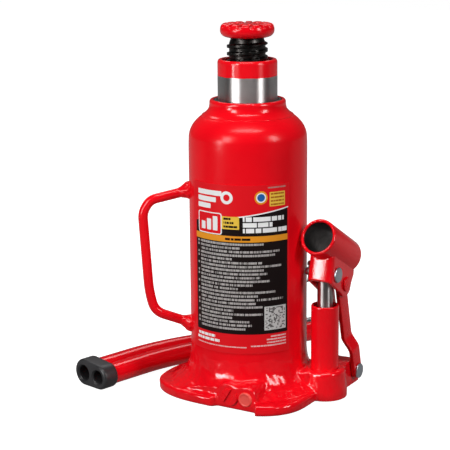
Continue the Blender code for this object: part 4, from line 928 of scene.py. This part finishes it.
def strap(name, solid, hand):
    """Rounded bar section carried up the link line; half width falls as sqrt(R^2 - a^2) at both round ends."""
    low_r, high_r = STRAP_LOW_R, STRAP_HIGH_R
    bend = np.linspace(0.0, np.pi / 2, 12)
    a = np.concatenate([-low_r * np.cos(bend), np.linspace(0.0, STRAP_LENGTH, 90)[1:-1],
                        STRAP_LENGTH + high_r * np.sin(bend)])
    grow = np.clip(a / STRAP_LENGTH, 0.0, 1.0)
    half = low_r + (high_r - low_r) * grow
    half = np.where(a < 0.0, np.sqrt(np.clip(low_r ** 2 - a ** 2, 0.0, None)), half)
    past = np.clip(a - STRAP_LENGTH, 0.0, None)
    half = np.where(past > 0.0, np.sqrt(np.clip(high_r ** 2 - past ** 2, 0.0, None)), half)[:, None]
    out = np.clip((a - JOGGLE_FROM) / JOGGLE_LONG, 0.0, 1.0)
    out = (OUT_AT_LUG + (OUT_AT_BRACKET - OUT_AT_LUG) * out * out * (3.0 - 2.0 * out))[:, None]
    q = np.linspace(0.0, 2.0 * np.pi, 32, endpoint=False)[None, :]
    corner = np.minimum(0.6, half)
    w = np.sign(np.cos(q)) * (half - corner) + corner * np.cos(q)
    t = np.sign(np.sin(q)) * (STRAP_HALF_THICK - STRAP_EDGE) + STRAP_EDGE * np.sin(q)
    along = a[:, None] + 0.0 * q
    x = PUMP_X + hand * (out + t + 0.0 * w)
    y = strap_low[0] + along * strap_run[0] + w * strap_across[0]
    z = strap_low[1] + along * strap_run[1] + w * strap_across[1]
    made = make(name, mesh_from(name, np.stack([x, y, z], axis=-1)), 50.0)
    fit(made, enamel(name + "_red_paint", 90.0, 0.25, 0.07, 0.2, 0.34), "link", solid)


strap("right_strap", "link_strap_right", 1.0)
strap("left_strap", "link_strap_left", -1.0)


# ---- Valves -----------------------------------------------------------------
# The release valve is a round slotted head, turned by the handle's end. The
# overload valve beside it is closed by an orange plastic cap.
SLOT_LEAN = math.radians(31.0)
SLOT_DEEP, SLOT_HALF, SLOT_WALL = 4.2, 1.75, 0.22
HEAD_R, FACE_R, STEM_R = 6.0, 5.5, 4.4
FACE_Y, BEVEL = -49.6, 0.6


def slot_depth(x, z):
    """Depth below the face: full within the slot's half width of a leaning line, then up a steep wall."""
    off_line = x * math.cos(SLOT_LEAN) - z * math.sin(SLOT_LEAN)
    return SLOT_DEEP * (1.0 - np.clip((np.abs(off_line) - SLOT_HALF) / SLOT_WALL, 0.0, 1.0))


def valve_ring(radius, y):
    """One row round the valve's axis."""
    return np.stack([radius * around_x, np.broadcast_to(y, around_x.shape), radius * around_z], axis=-1)[None]


valve_angle = np.linspace(0.0, 2.0 * np.pi, 168, endpoint=False)
around_x, around_z = np.cos(valve_angle), np.sin(valve_angle)
face_r = np.linspace(0.0, FACE_R, 44)[:, None]
face_x, face_z = face_r * around_x, face_r * around_z
face = np.stack([face_x, FACE_Y + slot_depth(face_x, face_z), face_z], axis=-1)
edge_cut = np.maximum(slot_depth(HEAD_R * around_x, HEAD_R * around_z) - BEVEL, 0.0)
valve = np.concatenate([
    face, valve_ring(HEAD_R, FACE_Y + BEVEL + edge_cut), valve_ring(HEAD_R, -42.5), valve_ring(STEM_R, -42.4),
    valve_ring(STEM_R, -28.5)]) + np.array([VALVE_X, 0.0, VALVE_Z])
valve = make("release_valve_head", mesh_from("release_valve_head", valve), 35.0)
fit(valve, enamel("release_valve_red_paint", 120.0, 0.2, 0.08), "valve", "release_valve")

ORANGE_DEEP, ORANGE_LIGHT = (0.78, 0.06, 0.045, 1.0), (0.90, 0.10, 0.075, 1.0)
orange, tree, shader = new_finish("orange_plastic")
mottle = node(tree, "ShaderNodeTexNoise", {
    "Vector": node(tree, "ShaderNodeTexCoord").outputs["Object"], "Scale": 420.0, "Detail": 3.0}).outputs[0]
tree.links.new(over(tree, ORANGE_DEEP, mottle, ORANGE_LIGHT), shader.inputs["Base Color"])
tree.links.new(remap(tree, mottle, 0.38, 0.55, 0.0, 1.0), shader.inputs["Roughness"])
overload = turned_piece("overload_valve_cap", [
    (0.0, 10.9, 0.0), (3.6, 10.9, 0.3), (4.0, 10.6, 0.3), (4.6, 10.6, 0.6), (5.2, 11.6, 0.6),
    (5.2, 15.4, 0.0), (0.0, 15.4, 0.0)], 64, (OVER_X, -60.0, OVER_Z), (0, 1, 0))
fit(overload, orange, "frame", "overload_cap")


# ---- Filler plug ------------------------------------------------------------
# Soft rubber bung pushed into the oil hole at the back of the reservoir.
RUBBER_BLACK, RUBBER_GREY = (0.012, 0.012, 0.014, 1.0), (0.04, 0.038, 0.04, 1.0)
rubber, tree, shader = new_finish("black_rubber")
place = node(tree, "ShaderNodeTexCoord").outputs["Object"]
grain = node(tree, "ShaderNodeTexNoise", {"Vector": place, "Scale": 650.0, "Detail": 4.0}).outputs[0]
bloom = node(tree, "ShaderNodeTexNoise", {"Vector": place, "Scale": 45.0, "Detail": 3.0}).outputs[0]
tree.links.new(over(tree, RUBBER_BLACK, bloom, RUBBER_GREY), shader.inputs["Base Color"])
tree.links.new(remap(tree, bloom, 0.36, 0.5), shader.inputs["Roughness"])
raise_by(tree, shader, grain, 0.5, 0.1 * MM)
bung = turned_piece("filler_bung", [
    (0.0, 36.2, 0.0), (4.6, 36.2, 0.8), (5.1, 41.4, 0.3), (7.4, 41.4, 0.3), (7.7, 42.6, 0.6),
    (6.4, 43.9, 0.9), (2.4, 44.0, 0.3), (1.9, 43.5, 0.3), (0.0, 43.5, 0.0)], 64, (0.0, 0.0, 150.0), (0, 1, 0))
fit(bung, rubber, "plug", "filler_plug")


# ---- Loose handle -----------------------------------------------------------
# Two curved steel tubes side by side, held by a moulded rubber block with two
# open holes. The larger one ends in a drawn-down spigot of bare steel.

# Headings are (distance along the handle in millimetres, its direction there in degrees).
HEADINGS = ((0.0, 76.8), (45.0, 76.8), (56.0, 72.8), (71.0, 68.2), (86.0, 63.4), (96.0, 60.4), (300.0, 60.4))
HANDLE_AT = (-97.2, -59.0)
BUNDLE_LENGTH = 225.0
LARGE_R, SMALL_R = 7.6, 6.8
CAP_WALL = 1.7
TUBE_PITCH = LARGE_R + SMALL_R + 0.3
travel = np.arange(0.0, BUNDLE_LENGTH + 0.5, 1.0)
bearing = np.radians(np.interp(travel, *np.array(HEADINGS).T))
step_x = np.concatenate([[0.0], np.cumsum(np.cos((bearing[1:] + bearing[:-1]) / 2))])
step_y = np.concatenate([[0.0], np.cumsum(np.sin((bearing[1:] + bearing[:-1]) / 2))])
middle = np.stack([HANDLE_AT[0] + step_x, HANDLE_AT[1] + step_y, np.zeros_like(travel)], axis=-1)
beside = np.stack([np.sin(bearing), -np.cos(bearing), np.zeros_like(travel)], axis=-1)


def handle_tube(name, solid, finish, offset, radius, wall, first, last, taper=None):
    """Hollow tube: outer wall out, inner wall back, both round sections carried along the curved line.

    The line lies beside the middle one by offset; taper is a list of (distance, radius)."""
    pick = (travel >= first) & (travel <= last)
    line = middle[pick] + beside[pick] * offset
    line[:, 2] = radius + CAP_WALL - CAP_WALL * travel[pick] / BUNDLE_LENGTH
    size = np.interp(travel[pick], *np.array(taper).T) if taper else radius
    outside = swept(line, size, (0.0, 0.0, 1.0), 40)
    inside = swept(line, size - wall, (0.0, 0.0, 1.0), 40)
    made = make(name, mesh_from(name, np.concatenate([outside, inside[::-1]]), ring=True), 60.0)
    fit(made, finish, "loose_handle", solid)


handle_red = enamel("handle_red_paint", 30.0, 0.06, 0.03, 0.12, 0.2, 0.5)
drawn_steel = metal("drawn_steel", (0.45, 0.45, 0.46), 0.28, 0.42, (200.0, 200.0, 200.0))
SPIGOT_FROM = 176.0
TUBES_FROM = 3.0
handle_tube("large_handle_tube", "handle_tube_large", handle_red, -TUBE_PITCH / 2, LARGE_R, 1.5,
            TUBES_FROM, SPIGOT_FROM)
handle_tube("handle_spigot", "handle_tube_large", drawn_steel, -TUBE_PITCH / 2, LARGE_R, 1.4,
            SPIGOT_FROM, BUNDLE_LENGTH, [
                (SPIGOT_FROM, LARGE_R), (SPIGOT_FROM + 1.0, LARGE_R), (SPIGOT_FROM + 6.0, 5.6),
                (BUNDLE_LENGTH, 5.5)])
handle_tube("small_handle_tube", "handle_tube_small", handle_red, TUBE_PITCH / 2 + 0.5, SMALL_R + 0.6, 1.4,
            TUBES_FROM, BUNDLE_LENGTH - 6.0)

CAP_LENGTH = 13.0
CAP_RIGHT_R, CAP_LEFT_R = 9.0, 9.8
a = np.radians(np.linspace(-90.0, 84.0, 24))
right_end = np.stack([TUBE_PITCH / 2 + CAP_RIGHT_R * np.cos(a), CAP_RIGHT_R + CAP_RIGHT_R * np.sin(a)], axis=-1)
a = np.radians(np.linspace(86.0, 270.0, 24))
left_end = np.stack([-TUBE_PITCH / 2 + CAP_LEFT_R * np.cos(a), CAP_LEFT_R + CAP_LEFT_R * np.sin(a)], axis=-1)
block_shape = slab(np.concatenate([right_end, left_end]), 0.0, CAP_LENGTH, 2.2, 6)
# The top dips by a twentieth between the two holes.
up = block_shape[:, :, 1]
waist = 1.0 - 0.05 * np.exp(-(block_shape[:, :, 0] / 4.0) ** 2)
block_shape[:, :, 1] = np.where(up > CAP_RIGHT_R, CAP_RIGHT_R + (up - CAP_RIGHT_R) * waist, up)
start = bearing[0]
forward = np.array([math.cos(start), math.sin(start), 0.0])
rightward = np.array([math.sin(start), -math.cos(start), 0.0])


def on_handle(points):
    """From cap axes (right, up, along) to the frame."""
    return (points[..., :1] * rightward + points[..., 1:2] * np.array([0.0, 0.0, 1.0])
            + points[..., 2:] * forward + np.array([*HANDLE_AT, 0.0]))


end_cap = make("handle_end_block", mesh_from("handle_end_block", on_handle(block_shape)))
for offset, height, radius in ((-TUBE_PITCH / 2, 9.4, 5.4), (TUBE_PITCH / 2, 9.0, 5.0)):
    hole = turned(soften([
        (0.0, -2.0, 0.0), (radius + 1.0, -2.0, 0.0), (radius + 0.9, 0.2, 0.2), (radius, 1.1, 0.6),
        (radius, CAP_LENGTH + 2.0, 0.0), (0.0, CAP_LENGTH + 2.0, 0.0)]), 48)
    hole[:, :, 0] += offset
    hole[:, :, 1] += height
    bore(end_cap, mesh_from("hole", on_handle(hole)))
end_cap.data.shade_smooth()
end_cap.data.set_sharp_from_angle(angle=math.radians(40.0))
fit(end_cap, rubber, "loose_handle", "handle_end_cap")


# ---- Inner parts ------------------------------------------------------------
# Seals, gaskets, balls and the cylinder keep their own shapes and get the
# finish of what they are made of.
bright = metal("bearing_steel", (0.55, 0.55, 0.57), 0.12, 0.22, (500.0, 500.0, 500.0))
plain_steel = metal("honed_steel", (0.45, 0.45, 0.46), 0.25, 0.4)
copper = metal("soft_copper", (0.62, 0.28, 0.14), 0.3, 0.45, (300.0, 300.0, 300.0))
ring_plastic = enamel("white_ring_plastic", 80.0, 0.1, 0.05, 0.4, 0.5,
                      deep=(0.75, 0.73, 0.66, 1.0), light=(0.85, 0.83, 0.76, 1.0))
inner_finish = {
    rubber: ["top_nut_o_ring", "ram_wiper", "ram_seal", "pump_wiper", "pump_o_ring", "release_valve_o_ring"],
    bright: ["suction_ball", "delivery_ball", "release_ball", "overload_ball"],
    plain_steel: ["main_cylinder", "screw_stop_ring", "overload_spring", "overload_screw"],
    copper: ["cylinder_gasket", "pump_gasket"],
    ring_plastic: ["ram_backup_ring"],
}
for finish, names in inner_finish.items():
    for name in names:
        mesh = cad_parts[name].data
        mesh.materials.clear()
        mesh.materials.append(finish)

low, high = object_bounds()
